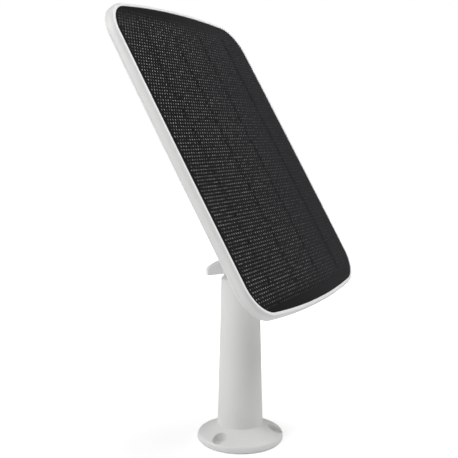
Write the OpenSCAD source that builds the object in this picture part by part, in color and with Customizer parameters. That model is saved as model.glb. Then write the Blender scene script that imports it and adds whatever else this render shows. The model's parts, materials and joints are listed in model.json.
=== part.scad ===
// Solar charging panel on a post with a lockable ball joint.
// Millimetres, +Z up. The panel faces -Y and the origin is the centre of the base's underside.

/* [Base and post] */
// Radius of the base disc
base_r = 27; // [26.5:0.5:30]
// Height of the base disc's upright edge
base_edge_h = 2.4; // [2:0.1:3]
// Slope of the base's conical top, in degrees
base_slope = 27; // [22:1:30]
// Radius of the post at its foot
post_foot_r = 14.2; // [14:0.1:15.5]
// Radius of the post at its shoulder
post_top_r = 11.9; // [11.5:0.1:12.5]
// Height of the post's shoulder above the mounting surface
post_h = 103.1; // [90:0.1:130]
// Depth of the bevel between the shoulder and the socket
post_bevel = 2.25; // [1.8:0.05:2.4]

/* [Wall screws] */
// Diameter of the circle through the screw holes
screw_pcd = 43.8; // [43:0.1:44]
// Diameter of each clearance hole
screw_hole_d = 4.4; // [3.6:0.1:4.6]
// Diameter of each sunk screw seat
screw_seat_d = 8.6; // [7.6:0.1:8.8]
// Direction of the first screw hole, in degrees
screw_turn = 173; // [0:1:359]

/* [Ball joint] */
// Height of the ball's centre above the post's shoulder
ball_rise = 10.7; // [10.6:0.1:12]
// Radius of the ball
ball_r = 9; // [8.9:0.01:9.05]
// Radius of the stud's waist next to the ball
waist_r = 2.5; // [2.2:0.1:2.7]
// Radius of the stud's threaded end
stud_r = 3.1; // [2.9:0.1:3.1]
// Running clearance between turning surfaces
run_gap = 0.08; // [0.05:0.01:0.1]
// Angle of the panel above the horizontal at rest, in degrees
rest_tilt = 60; // [20:1:61]

/* [Wing collar] */
// Outer radius of the collar's hub
collar_r = 12.9; // [12.7:0.1:13.4]
// Radius to the tips of the wings
wing_reach = 22.5; // [19:0.5:23]
// Thickness of each wing
wing_t = 3.6; // [3:0.1:4.5]
// Direction of the first wing at rest, in degrees
wing_turn = 144; // [0:1:359]

/* [Panel] */
// Width of the panel
panel_w = 149.4; // [145:0.2:170]
// Length of the panel
panel_l = 200.8; // [195:0.2:220]
// Thickness of the panel at its edge
panel_t = 6.4; // [6.3:0.1:8]
// Radius of the panel's corners
corner_r = 21.4; // [18:0.1:26]
// How far the short ends bow outwards
end_bow = 5.6; // [3:0.1:7]
// How far the long sides bow outwards
side_bow = 0.6; // [0.3:0.1:1]
// Width of the rim around the dark face
rim_w = 2.7; // [2.2:0.1:3.2]
// Width of the rim's flat front lip
lip_w = 1.2; // [0.8:0.1:1.4]
// Distance from the ball's centre to the panel's front plane
face_h = 35.8; // [35.4:0.2:40]
// Distance from the stud's axis up to the panel's centre
panel_offset = 56.2; // [50:0.1:60]

/* [Solar cells] */
// Number of cell strips in series
cell_rows = 12; // [8:1:12]
// Width of each cell strip
cell_w = 124.8; // [100:0.2:125]
// Length of the whole cell field
field_l = 170; // [150:1:170]
// Gap between cell strips
cell_gap = 0.5; // [0.4:0.1:1]
// Number of ribbons across the strips
ribbons = 4; // [2:1:5]

/* [Hidden] */
$fn = 96;
eps = 0.1;

// Base and post
base_edge_r = 2.6;
base_foot_chamfer = 1.1;
seat_floor_z = 3.2;
seat_cone_z = 1.4;
screw_count = 3;
cavity_foot_r = 15;
cavity_waist_r = 11.6;
cavity_waist_z = 7;
cavity_top_r = 8.8;
pivot_z = post_h + ball_rise;
socket_top_z = post_h + post_bevel;
spigot_r = 7.4;
spigot_l = 11.45;
web_t = 4;
web_hole_r = 2.3;
spigot_foot_z = socket_top_z - spigot_l;

// Socket heights are measured from the ball's centre
socket_stem_r = 9;
socket_body_r = 10.3;
socket_body_foot = -7;
socket_body_top = -2;
socket_tip_r = 9.6;
socket_tip_h = 1.9;
slot_w = 1.2;
slot_foot = -4.5;
slot_pairs = 3;
seat_r = 6.3;
seat_foot = -12;
seat_rim = -6.7;
pilot_r = 2;
pilot_l = 6.4;
socket_screw_r = 1.95;
socket_screw_l = 10.2;
socket_screw_head_r = 3.6;
socket_screw_head_h = 2.5;

// Collar heights are measured from the ball's centre
collar_foot = -7.4;
collar_rim = 2.9;
collar_dish = 1.7;
collar_roof = 0.7;
collar_shelf = -2.2;
collar_mouth_r = 10.1;
collar_pocket_r = 11.3;
collar_edge = 0.5;
slip_outer_r = 11.2;
slip_foot = -1.9;
slip_top = 0.6;
slip_gap = 0.25;
wing_tip_h = 3.8;
wing_root_h = 9.2;
wing_root_r = 12;
wing_curve_steps = 8;

// Stud and jam nut distances are measured from the ball's centre along the stud
waist_end = 15;
shank_start = 16.2;
shank_end = 30.5;
nut_start = 17.9;
nut_end = 22.9;
nut_r = 9.5;
grip_grooves = 24;
grip_groove_r = 0.7;

// Layers of the panel, as depths below its front plane
film_top = 0.3;
film_t = 0.3;
potting_t = 1;
cell_top = 1;
cell_t = 0.25;
ribbon_t = 0.12;
ribbon_w = 1.2;
board_t = 1.2;
glue_t = 0.5;
laminate_gap = 0.15;
laminate_in = rim_w + laminate_gap;
potting_top = film_top + film_t;
board_top = potting_top + potting_t;
glue_top = board_top + board_t;
ledge_top = glue_top + glue_t;
ledge_w = 5.4;
back_wall_t = 1.5;
back_wall_top = panel_t - back_wall_t;
front_edge_in = rim_w - lip_w;
front_edge_t = 0.6;
round_edge_in = 0.35;
round_edge_t = 1.6;
back_edge_in = 0.9;
back_edge_t = 0.9;
cell_pitch = field_l / cell_rows;
cell_clear = 0.05;

// Boss behind the panel that takes the stud
boss_r = 13;
boss_foot_r = 15;
insert_r = 4.4;
insert_bore_r = stud_r + run_gap;
insert_start = 23;
insert_end = 31;
boss_cap_r = 7;
boss_cap_t = 0.8;
rib_t = 2;
rib_h = 4;
rib_x = 8;

// Connection box behind the panel, placed from the panel's centre
box_w = 66;
box_l = 54;
box_y = 2;
box_wall = 2;
box_corner = 8;
box_back = 14;
box_post_r = 3.4;
box_post_x = 27.2;
box_post_y = 21.2;
gasket_t = 0.6;
cover_t = 1.6;
cover_screw_r = 1;
cover_screw_l = 6;
cover_head_r = 2.1;
cover_head_h = 1.2;
lead_slot_w = 14;
lead_slot_l = 5;
lead_slot_y = 21.5;

// Charge board and what is soldered to it, placed from the box's centre
pcb_w = 46;
pcb_l = 34;
pcb_t = 1.2;
pcb_top = 8;
pcb_back = pcb_top + pcb_t;
standoff_x = 19;
standoff_y = 13;
standoff_r = 2;
board_screw_r = 0.8;
board_screw_head_r = 1.7;
board_screw_head_h = 1;
board_hole_r = 1.1;
lead_r = 0.6;
lead_x = 4;
lead_depth = 10.1;
lead_end_y = 16;
terminal_size = [5, 3, 2.4];
inductor_size = [7.4, 7.4, 3.2];
converter_size = [5, 5, 1];
diode_size = [4.6, 2.8, 2.2];
capacitor_r = 2.2;
capacitor_h = 4;

// Cable gland in the box's lower wall
gland_x = 16.5;
gland_depth = 10.5;
gland_bore_r = 1.95;
gland_thread_r = 2.9;
gland_flange_r = 3.7;
gland_flange_t = 1.4;
gland_outer_l = 5;
gland_inner_l = 3.6;
gland_cap_start = 0.3;
gland_cap_l = 7.2;
gland_cap_wall = 0.7;
gland_seal_l = 3;
gland_nut_t = 1.8;
gland_nut_r = 3.9;

// Colours
white = [0.93, 0.93, 0.92];
soft_white = [0.86, 0.86, 0.85];
black = [0.13, 0.13, 0.14];
cell_blue = [0.07, 0.08, 0.12];
clear_grey = [0.55, 0.57, 0.6];
steel = [0.72, 0.73, 0.75];
brass = [0.78, 0.62, 0.32];
rubber = [0.16, 0.16, 0.16];
board_green = [0.1, 0.33, 0.2];

function lerp(a, b, t) = a + (b - a) * t;
function dir(a) = [cos(a), sin(a)];
function arc(c, r, a0, a1, n) = [for (k = [0:n]) c + r * dir(lerp(a0, a1, k / n))];
function flip(pts) = [for (k = [len(pts) - 1:-1:0]) pts[k]];

// Panel outline: bowed ends and sides joined by tangent corner arcs, moved in by "inset"
half_w = panel_w / 2;
half_l = panel_l / 2;
end_r = (half_w * half_w + end_bow * end_bow) / (2 * end_bow);
side_r = (half_l * half_l + side_bow * side_bow) / (2 * side_bow);
end_c = [0, half_l - end_r];
side_c = [half_w - side_r, 0];
centre_gap = norm(end_c - side_c);
along = ((end_r - corner_r) ^ 2 - (side_r - corner_r) ^ 2 + centre_gap ^ 2) / (2 * centre_gap);
across = sqrt((end_r - corner_r) ^ 2 - along ^ 2);
to_side = (side_c - end_c) / centre_gap;
corner_c = end_c + along * to_side + across * [to_side[1], -to_side[0]];
end_turn = atan2(corner_c[1] - end_c[1], corner_c[0] - end_c[0]);
side_turn = atan2(corner_c[1] - side_c[1], corner_c[0] - side_c[0]);
end_steps = 8;
corner_steps = 8;
side_steps = 4;

function corner_points(inset) = concat(
    arc(end_c, end_r - inset, 90, end_turn, end_steps),
    arc(corner_c, corner_r - inset, end_turn, side_turn, corner_steps),
    arc(side_c, side_r - inset, side_turn, 0, side_steps));
// The corner arc's two ends repeat its neighbours' ends, so they are left out
function upper_right(inset) = let (pts = corner_points(inset))
    [for (k = [0:len(pts) - 1]) if (k != end_steps + 1 && k != end_steps + corner_steps + 2) pts[k]];
function mirror_x(pts) = [for (p = pts) [-p[0], p[1]]];
function mirror_y(pts) = [for (p = pts) [p[0], -p[1]]];
function without_first(pts) = [for (k = [1:len(pts) - 1]) pts[k]];
function without_last(pts) = [for (k = [0:len(pts) - 2]) pts[k]];
function right_side(inset) = let (q = upper_right(inset)) concat(q, without_first(flip(mirror_y(q))));
function panel_outline(inset) = let (r = right_side(inset))
    concat(r, without_last(without_first(flip(mirror_x(r)))));

// Puts children drawn in the panel's own frame (ball centre at 0, face along +Z) where they stand
module on_panel() {
    translate([0, 0, pivot_z]) rotate([rest_tilt, 0, 0]) children();
}

// A slice of the panel between two depths below its front plane
module slice(from, to, inset) {
    translate([0, panel_offset, face_h - to])
        linear_extrude(to - from) polygon(panel_outline(inset));
}

// The same for any flat shape drawn about the panel's centre
module plate(from, to) {
    translate([0, panel_offset, face_h - to]) linear_extrude(to - from) children();
}

// Places children at a point of the connection box, at a depth below the front plane
module in_box(x, y, depth) {
    translate([x, panel_offset + box_y + y, face_h - depth]) children();
}

module round_rect(w, l, r) {
    square([w - 2 * r, l], center = true);
    square([w, l - 2 * r], center = true);
    for (x = [-1, 1], y = [-1, 1])
        translate([x * (w / 2 - r), y * (l / 2 - r)]) circle(r);
}

module at_corners(x, y) {
    for (i = [-1, 1], j = [-1, 1]) translate([i * x, j * y, 0]) children();
}

module block(size) {
    translate([-size[0] / 2, -size[1] / 2, 0]) cube(size);
}

module screw_seats() {
    for (k = [0:screw_count - 1])
        rotate(screw_turn + k * 360 / screw_count) translate([screw_pcd / 2, 0, 0]) {
            translate([0, 0, -eps]) cylinder(d = screw_hole_d, h = seat_floor_z);
            translate([0, 0, seat_cone_z])
                cylinder(d1 = screw_hole_d, d2 = screw_seat_d, h = seat_floor_z - seat_cone_z);
            translate([0, 0, seat_floor_z]) cylinder(d = screw_seat_d, h = post_foot_r);
        }
}

// Base disc and hollow tapered post, moulded as one piece
module base_post() {
    edge_c = [base_r - base_edge_r, base_edge_h];
    slope_start = edge_c + base_edge_r * dir(90 - base_slope);
    foot_z = slope_start[1] + (slope_start[0] - post_foot_r) * tan(base_slope);
    color(white) difference() {
        rotate_extrude() polygon(concat(
            [[cavity_foot_r, 0], [base_r - base_foot_chamfer, 0], [base_r, base_foot_chamfer]],
            arc(edge_c, base_edge_r, 0, 90 - base_slope, 6),
            [[post_foot_r + 0.5, foot_z - 0.25], [post_foot_r, foot_z + 0.4],
            [post_top_r, post_h], [post_top_r - post_bevel, socket_top_z],
            [spigot_r, socket_top_z], [spigot_r, spigot_foot_z], [web_hole_r, spigot_foot_z],
            [web_hole_r, spigot_foot_z - web_t], [cavity_top_r, spigot_foot_z - web_t],
            [cavity_waist_r, cavity_waist_z]]));
        screw_seats();
    }
}

// Slotted socket that the ball sits in, with a spigot down into the post
module socket_collet() {
    color(soft_white) translate([0, 0, pivot_z]) difference() {
        rotate_extrude() polygon([[0, spigot_foot_z - pivot_z], [spigot_r, spigot_foot_z - pivot_z],
            [spigot_r, socket_top_z - pivot_z], [socket_stem_r, socket_top_z - pivot_z],
            [socket_stem_r, socket_body_foot], [socket_body_r, socket_body_foot],
            [socket_body_r, socket_body_top], [socket_tip_r, socket_tip_h], [0, socket_tip_h]]);
        sphere(ball_r + run_gap);
        translate([0, 0, seat_foot]) cylinder(r = seat_r + run_gap, h = -seat_foot);
        translate([0, 0, spigot_foot_z - pivot_z - eps]) cylinder(r = pilot_r, h = pilot_l + eps);
        for (k = [0:slot_pairs - 1]) rotate(k * 180 / slot_pairs)
            translate([-base_r, -slot_w / 2, slot_foot]) cube([2 * base_r, slot_w, ball_r]);
    }
}

// Screw that holds the socket down, driven from inside the post
module socket_screw() {
    color(steel) translate([0, 0, spigot_foot_z - web_t]) {
        difference() {
            translate([0, 0, -socket_screw_head_h])
                cylinder(r = socket_screw_head_r, h = socket_screw_head_h);
            translate([0, 0, -socket_screw_head_h - eps])
                cylinder(r = socket_screw_r, h = socket_screw_head_h / 2, $fn = 6);
        }
        cylinder(r = socket_screw_r, h = socket_screw_l);
    }
}

// Friction cup under the ball
module ball_seat() {
    color(rubber) translate([0, 0, pivot_z]) difference() {
        translate([0, 0, seat_foot + eps]) cylinder(r = seat_r, h = seat_rim - seat_foot - eps);
        sphere(ball_r + run_gap);
    }
}

// Plain ring between the collar and the socket's fingers; it lifts with the collar and doesn't turn
module slip_ring() {
    taper = (socket_body_r - socket_tip_r) / (socket_tip_h - socket_body_top);
    inner_foot = socket_body_r - taper * (slip_foot - socket_body_top) + slip_gap;
    inner_top = socket_body_r - taper * (slip_top - socket_body_top) + slip_gap;
    color(steel) translate([0, 0, pivot_z]) rotate_extrude()
        polygon([[inner_foot, slip_foot], [slip_outer_r, slip_foot],
            [slip_outer_r, slip_top], [inner_top, slip_top]]);
}

// One wing, as a plate standing on the collar's foot, with a convex upper edge
module wing() {
    drop = wing_root_h - wing_tip_h;
    span = wing_reach - wing_root_r;
    edge = [for (k = [0:wing_curve_steps]) let (t = k / wing_curve_steps)
        [wing_reach - span * t, wing_tip_h + drop * sqrt(1 - (1 - t) ^ 2)]];
    rotate([90, 0, 0]) translate([0, 0, -wing_t / 2]) linear_extrude(wing_t)
        polygon(concat([[wing_root_r, 0], [wing_reach, 0]], edge));
}

// Collar with two wings, threaded on the socket; turning it down closes the fingers on the ball
module wing_collar() {
    color(white) translate([0, 0, pivot_z]) {
        rotate_extrude() polygon([[socket_body_r + run_gap, collar_foot],
            [collar_r - collar_edge, collar_foot], [collar_r, collar_foot + collar_edge],
            [collar_r, collar_rim - collar_edge], [collar_r - collar_edge, collar_rim],
            [collar_mouth_r, collar_dish], [collar_mouth_r, collar_roof],
            [collar_pocket_r, collar_roof], [collar_pocket_r, collar_shelf],
            [socket_body_r + run_gap, collar_shelf]]);
        for (k = [0, 1]) rotate(wing_turn + 180 * k) translate([0, 0, collar_foot]) wing();
    }
}

// Ball, waist and threaded shank in one piece
module ball_stud() {
    color(steel) on_panel() {
        sphere(ball_r);
        cylinder(r = waist_r, h = waist_end);
        translate([0, 0, waist_end])
            cylinder(r1 = waist_r, r2 = stud_r, h = shank_start - waist_end);
        translate([0, 0, shank_start]) cylinder(r = stud_r, h = shank_end - shank_start);
    }
}

// Grooved lock nut that jams the stud's thread against the panel's boss
module jam_nut() {
    color(soft_white) on_panel() difference() {
        translate([0, 0, nut_start]) cylinder(r = nut_r, h = nut_end - nut_start);
        translate([0, 0, nut_start - eps])
            cylinder(r = stud_r + run_gap, h = nut_end - nut_start + 2 * eps);
        for (k = [0:grip_grooves - 1]) rotate(k * 360 / grip_grooves)
            translate([nut_r, 0, nut_start - eps])
                cylinder(r = grip_groove_r, h = nut_end - nut_start + 2 * eps, $fn = 24);
    }
}

// Brass thread pressed into the boss
module thread_insert() {
    color(brass) on_panel() translate([0, 0, insert_start]) difference() {
        cylinder(r = insert_r, h = insert_end - insert_start);
        translate([0, 0, -eps]) cylinder(r = insert_bore_r, h = insert_end - insert_start + 2 * eps);
    }
}

// Box walls with screw posts, drawn from the back wall to the box's open back
module box_walls() {
    in_box(0, 0, box_back) linear_extrude(box_back - back_wall_top) difference() {
        round_rect(box_w, box_l, box_corner);
        difference() {
            round_rect(box_w - 2 * box_wall, box_l - 2 * box_wall, box_corner - box_wall);
            at_corners(box_post_x, box_post_y) circle(box_post_r);
        }
    }
}

// White tub: rim, side wall, back wall, boss, ribs and connection box in one moulding
module panel_shell() {
    color(white) on_panel() difference() {
        union() {
            difference() {
                union() {
                    slice(0, front_edge_t, front_edge_in);
                    slice(front_edge_t, round_edge_t, round_edge_in);
                    slice(round_edge_t, panel_t - back_edge_t, 0);
                    slice(panel_t - back_edge_t, panel_t, back_edge_in);
                }
                slice(-eps, ledge_top, rim_w);
                slice(ledge_top - eps, back_wall_top, rim_w + ledge_w);
            }
            translate([0, 0, insert_start])
                cylinder(r1 = boss_r, r2 = boss_foot_r, h = face_h - panel_t - insert_start);
            translate([0, 0, insert_end - back_wall_t])
                cylinder(r = boss_cap_r, h = back_wall_t + boss_cap_t);
            for (x = [-rib_x, rib_x])
                translate([x - rib_t / 2, 0, face_h - panel_t - rib_h])
                    cube([rib_t, panel_offset + box_y - box_l / 2 + box_wall / 2, rib_h + eps]);
            box_walls();
            in_box(0, 0, pcb_top) at_corners(standoff_x, standoff_y)
                cylinder(r = standoff_r, h = pcb_top - back_wall_top);
        }
        translate([0, 0, insert_start - eps]) cylinder(r = insert_r, h = insert_end - insert_start + eps);
        in_box(0, lead_slot_y, panel_t + eps)
            block([lead_slot_w, lead_slot_l, back_wall_t + 2 * eps]);
        in_box(gland_x, -box_l / 2 + box_wall + eps, gland_depth) rotate([90, 0, 0])
            cylinder(r = gland_thread_r + run_gap, h = box_wall + 2 * eps);
        in_box(0, 0, box_back + eps) at_corners(box_post_x, box_post_y)
            cylinder(r = cover_screw_r, h = cover_screw_l);
        in_box(0, 0, pcb_top + eps) at_corners(standoff_x, standoff_y)
            cylinder(r = board_screw_r, h = pcb_top - back_wall_top);
    }
}

// Dark textured front film
module front_film() {
    color(black) on_panel() slice(film_top, potting_top, laminate_in);
}

// Cell strips, drawn with a little extra all round when they cut their own pocket
module cell_field(extra) {
    size = [cell_w, cell_pitch - cell_gap, cell_t] + 2 * extra * [1, 1, 1];
    first_y = panel_offset - (field_l - cell_pitch) / 2;
    for (k = [0:cell_rows - 1])
        translate([0, first_y + k * cell_pitch, face_h - cell_top - cell_t - extra]) block(size);
}

// Flat ribbons that lie on the strips' fronts
module ribbon_field(extra) {
    for (k = [0:ribbons - 1])
        translate([(k + 0.5 - ribbons / 2) * cell_w / ribbons, panel_offset, face_h - cell_top])
            block([ribbon_w + 2 * extra, field_l - cell_gap + 2 * extra, ribbon_t + extra]);
}

// Clear resin that the cells lie in
module encapsulant() {
    color(clear_grey) on_panel() difference() {
        slice(potting_top, board_top, laminate_in);
        cell_field(cell_clear);
        ribbon_field(cell_clear);
    }
}

module solar_cells() {
    color(cell_blue) on_panel() cell_field(0);
}

module cell_ribbons() {
    color(black) on_panel() ribbon_field(0);
}

// Stiff board behind the cells
module backing_board() {
    color(board_green) on_panel() slice(board_top, glue_top, laminate_in);
}

// Bead that bonds and seals the laminate to the shell's ledge
module panel_adhesive() {
    color(soft_white) on_panel() difference() {
        slice(glue_top, ledge_top, laminate_in + 0.5);
        slice(glue_top - eps, ledge_top + eps, rim_w + ledge_w - 0.8);
    }
}

// One insulated wire: back from the cells, through the slot, then over to its terminal
module lead(x) {
    reach = lead_slot_y - lead_end_y;
    rise = lead_depth - glue_top;
    in_box(x, lead_slot_y, lead_depth) {
        cylinder(r = lead_r, h = rise, $fn = 24);
        sphere(lead_r, $fn = 24);
        rotate([90, 0, 0]) cylinder(r = lead_r, h = reach, $fn = 24);
    }
}

module lead_red() {
    color("firebrick") on_panel() lead(-lead_x);
}

module lead_black() {
    color(rubber) on_panel() lead(lead_x);
}

module charge_board() {
    color(board_green) on_panel() difference() {
        in_box(0, 0, pcb_back) block([pcb_w, pcb_l, pcb_t]);
        in_box(0, 0, pcb_back + eps) at_corners(standoff_x, standoff_y)
            cylinder(r = board_hole_r, h = pcb_t + 2 * eps);
    }
}

// Stands a component of a given size on the board's back
module on_board(x, y, size) {
    in_box(x, y, pcb_back + size[2]) block(size);
}

module board_inductor() {
    color(rubber) on_panel() on_board(-9, 1, inductor_size);
}

module board_converter() {
    color(black) on_panel() on_board(1, 1, converter_size);
}

module board_capacitors() {
    color(steel) on_panel() for (y = [-5, 4]) in_box(11, y, pcb_back + capacitor_h)
        cylinder(r = capacitor_r, h = capacitor_h);
}

module board_diode() {
    color(black) on_panel() on_board(-9, -9, diode_size);
}

module board_terminals() {
    color("gold") on_panel() for (x = [-lead_x, lead_x])
        on_board(x, lead_end_y - terminal_size[1] / 2, terminal_size);
}

module board_screws() {
    color(steel) on_panel() at_corners(standoff_x, standoff_y) in_box(0, 0, pcb_back) {
        translate([0, 0, -board_screw_head_h]) cylinder(r = board_screw_head_r, h = board_screw_head_h);
        cylinder(r = board_screw_r, h = pcb_t + 1.5);
    }
}

module box_gasket() {
    color(rubber) on_panel() in_box(0, 0, box_back + gasket_t) linear_extrude(gasket_t) difference() {
        round_rect(box_w - 0.4, box_l - 0.4, box_corner - 0.2);
        difference() {
            round_rect(box_w - 2 * box_wall, box_l - 2 * box_wall, box_corner - box_wall);
            at_corners(box_post_x, box_post_y) circle(box_post_r);
        }
        at_corners(box_post_x, box_post_y) circle(cover_screw_r + run_gap);
    }
}

// Lid of the connection box, with sunk seats for its screws
module box_cover() {
    cover_back = box_back + gasket_t + cover_t;
    color(white) on_panel() difference() {
        in_box(0, 0, cover_back) linear_extrude(cover_t) round_rect(box_w, box_l, box_corner);
        in_box(0, 0, cover_back + eps) at_corners(box_post_x, box_post_y) {
            cylinder(r = cover_screw_r + run_gap, h = cover_t + 2 * eps);
            cylinder(r = cover_head_r + run_gap, h = cover_head_h + eps);
        }
    }
}

module cover_screws() {
    cover_back = box_back + gasket_t + cover_t;
    color(steel) on_panel() in_box(0, 0, cover_back) at_corners(box_post_x, box_post_y) {
        cylinder(r = cover_head_r, h = cover_head_h);
        cylinder(r = cover_screw_r, h = cover_t + gasket_t + cover_screw_l - 1);
    }
}

// Turns children so that +Z points out of the box's lower wall along the gland's axis
module on_gland() {
    on_panel() in_box(gland_x, -box_l / 2, gland_depth) rotate([90, 0, 0]) children();
}

// Threaded nipple through the box's wall
module gland_body() {
    color(rubber) on_gland() difference() {
        union() {
            translate([0, 0, -box_wall - gland_inner_l])
                cylinder(r = gland_thread_r, h = box_wall + gland_inner_l + gland_outer_l);
            cylinder(r = gland_flange_r, h = gland_flange_t);
        }
        translate([0, 0, -box_wall - gland_inner_l - eps])
            cylinder(r = gland_bore_r, h = box_wall + gland_inner_l + gland_outer_l + 2 * eps);
    }
}

// Rubber ring that the cap squeezes round the cable
module gland_seal() {
    color(soft_white) on_gland() translate([0, 0, gland_outer_l]) difference() {
        cylinder(r = gland_thread_r, h = gland_seal_l);
        translate([0, 0, -eps]) cylinder(r = gland_bore_r, h = gland_seal_l + 2 * eps);
    }
}

// Cap screwed on the nipple, open at its end for the cable
module gland_cap() {
    start = gland_flange_t + gland_cap_start;
    color(rubber) on_gland() difference() {
        union() {
            translate([0, 0, start]) cylinder(r = gland_flange_r, h = gland_cap_l - 1);
            translate([0, 0, start + gland_cap_l - 1])
                cylinder(r1 = gland_flange_r, r2 = gland_flange_r - 0.8, h = 1);
        }
        translate([0, 0, start - eps])
            cylinder(r = gland_thread_r + run_gap, h = gland_outer_l + gland_seal_l - start + 2 * eps);
        translate([0, 0, start]) cylinder(r = gland_bore_r, h = gland_cap_l + eps);
    }
}

// Six-sided nut inside the box
module gland_nut() {
    color(rubber) on_gland() translate([0, 0, -box_wall - gland_nut_t]) difference() {
        cylinder(r = gland_nut_r, h = gland_nut_t, $fn = 6);
        translate([0, 0, -eps]) cylinder(r = gland_thread_r + run_gap, h = gland_nut_t + 2 * eps);
    }
}

base_post();
socket_collet();
socket_screw();
ball_seat();
slip_ring();
wing_collar();
ball_stud();
jam_nut();
thread_insert();
panel_shell();
front_film();
encapsulant();
solar_cells();
cell_ribbons();
backing_board();
panel_adhesive();
lead_red();
lead_black();
charge_board();
board_inductor();
board_converter();
board_capacitors();
board_diode();
board_terminals();
board_screws();
box_gasket();
box_cover();
cover_screws();
gland_body();
gland_seal();
gland_cap();
gland_nut();
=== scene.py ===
"""Solar charging panel on a post: visible pieces, finishes and studio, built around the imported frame.

Lengths are in metres. Pieces of the panel are drawn in the panel's own frame, which has its origin at
the ball's centre, X across the panel, Y up along it and Z out of its dark face.
"""

import json
import math

import bmesh
import bpy
from bpy.props import FloatProperty, FloatVectorProperty, IntProperty, PointerProperty
from bpy.types import Operator, Panel, PropertyGroup
from mathutils import Matrix, Vector


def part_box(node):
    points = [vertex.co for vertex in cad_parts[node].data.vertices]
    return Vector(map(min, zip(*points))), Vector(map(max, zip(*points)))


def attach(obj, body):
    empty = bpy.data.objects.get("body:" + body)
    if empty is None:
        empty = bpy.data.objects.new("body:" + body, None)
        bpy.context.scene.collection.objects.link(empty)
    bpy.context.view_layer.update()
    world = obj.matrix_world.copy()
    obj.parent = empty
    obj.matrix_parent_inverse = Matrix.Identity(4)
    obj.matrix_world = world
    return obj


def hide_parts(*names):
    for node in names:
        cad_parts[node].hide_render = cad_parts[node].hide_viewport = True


bl_info = {
    "name": "Solar Panel on a Post",
    "version": (1, 0, 0),
    "blender": (4, 5, 0),
    "location": "View3D > Sidebar > Solar Panel",
    "description": "Builds the panel's tub, textured film, ball joint and post around a fixed frame",
    "category": "Object",
}

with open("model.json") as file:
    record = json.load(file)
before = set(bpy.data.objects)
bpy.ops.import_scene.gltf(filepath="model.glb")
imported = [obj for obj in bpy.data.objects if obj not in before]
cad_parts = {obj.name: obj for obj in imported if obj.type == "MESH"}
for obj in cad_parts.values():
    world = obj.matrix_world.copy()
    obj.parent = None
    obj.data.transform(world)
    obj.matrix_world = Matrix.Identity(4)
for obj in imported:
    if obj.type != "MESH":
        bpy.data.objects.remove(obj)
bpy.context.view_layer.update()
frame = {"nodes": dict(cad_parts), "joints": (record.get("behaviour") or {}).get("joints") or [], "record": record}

MM = 0.001
TURN = 2 * math.pi
QUARTER = math.pi / 2

JOINTS = {joint["name"]: joint for joint in frame["joints"]}
PIVOT = Vector(JOINTS["tilt"]["pos_m"])
FACE_NORMAL = Vector(JOINTS["panel_turn"]["axis"]).normalized()
ACROSS = Vector((1, 0, 0))
UP_PANEL = FACE_NORMAL.cross(ACROSS)
JOINT_FRAME = Matrix.Translation(PIVOT)
PANEL_FRAME = JOINT_FRAME @ Matrix((ACROSS, UP_PANEL, FACE_NORMAL)).transposed().to_4x4()


def span(node, direction):
    """Lowest and highest place of a frame node's points along a direction, measured from the pivot."""
    places = [(v.co - PIVOT).dot(direction) for v in frame["nodes"][node].data.vertices]
    return min(places), max(places)


SHELL_LOW, SHELL_HIGH = span("panel_shell", UP_PANEL)
SHELL_MIDDLE = (SHELL_LOW + SHELL_HIGH) / 2
FACE_HEIGHT = span("panel_shell", FACE_NORMAL)[1]
BOX_LOW, BOX_HIGH = span("box_cover", UP_PANEL)
BOX_CENTRE = Vector((0, (BOX_LOW + BOX_HIGH) / 2, 0))
BOX_SIZE = (2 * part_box("box_cover")[1].x, BOX_HIGH - BOX_LOW)
COVER_BACK, COVER_FRONT = span("box_cover", FACE_NORMAL)
GASKET_FRONT = span("box_gasket", FACE_NORMAL)[1]
SHANK_END = span("ball_stud", FACE_NORMAL)[1]
NUT_START, NUT_END = span("jam_nut", FACE_NORMAL)
INSERT_START = span("thread_insert", FACE_NORMAL)[0]

# Fixed details: working allowances, and sizes that have to fit the frame's hidden parts

SINK = 0.4 * MM  # how far a joined solid reaches into the wall that it stands on
CLEAR = 1 * MM  # how far a cutter reaches past the surface that it cuts
SAME_POINT = 0.002 * MM  # points closer than this are merged
NO_EDGE = 0.001 * MM  # edges shorter than this are dissolved
COVER_SCREW_PLACE = (27.2 * MM, 21.2 * MM)  # from the box's centre, across and along
STANDOFF_PLACE = (19 * MM, 13 * MM)
SPIGOT_RADIUS = 7.4 * MM
SPIGOT_LENGTH = 11.45 * MM
CABLE_RADIUS = 1.95 * MM  # the gland's bore
NECK_RADIUS = 2.9 * MM
NECK_CLEARANCE_RADIUS = 2.98 * MM
SCREW_HEAD_RADIUS = 2.1 * MM  # of the four screws in the box's cover
SCREW_HEAD_HEIGHT = 1.2 * MM
SCREW_SHANK_RADIUS = 1 * MM


def length(name, description, default, high=1.0):
    """A length in metres that a user may change."""
    return FloatProperty(name=name, description=description, default=default, min=0.0, max=high,
                         precision=5, unit="LENGTH", subtype="DISTANCE")


def turn(name, description, degrees):
    """An angle that a user may change."""
    return FloatProperty(name=name, description=description, default=math.radians(degrees),
                         unit="ROTATION", subtype="ANGLE")


def colour(name, description, rgb):
    """A colour that a user may change."""
    return FloatVectorProperty(name=name, description=description, default=rgb, size=3,
                               min=0.0, max=1.0, subtype="COLOR")


def power(name, description, watts):
    """A lamp's power that a user may change."""
    return FloatProperty(name=name, description=description, default=watts, min=0.0, unit="POWER")


# Settings

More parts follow.
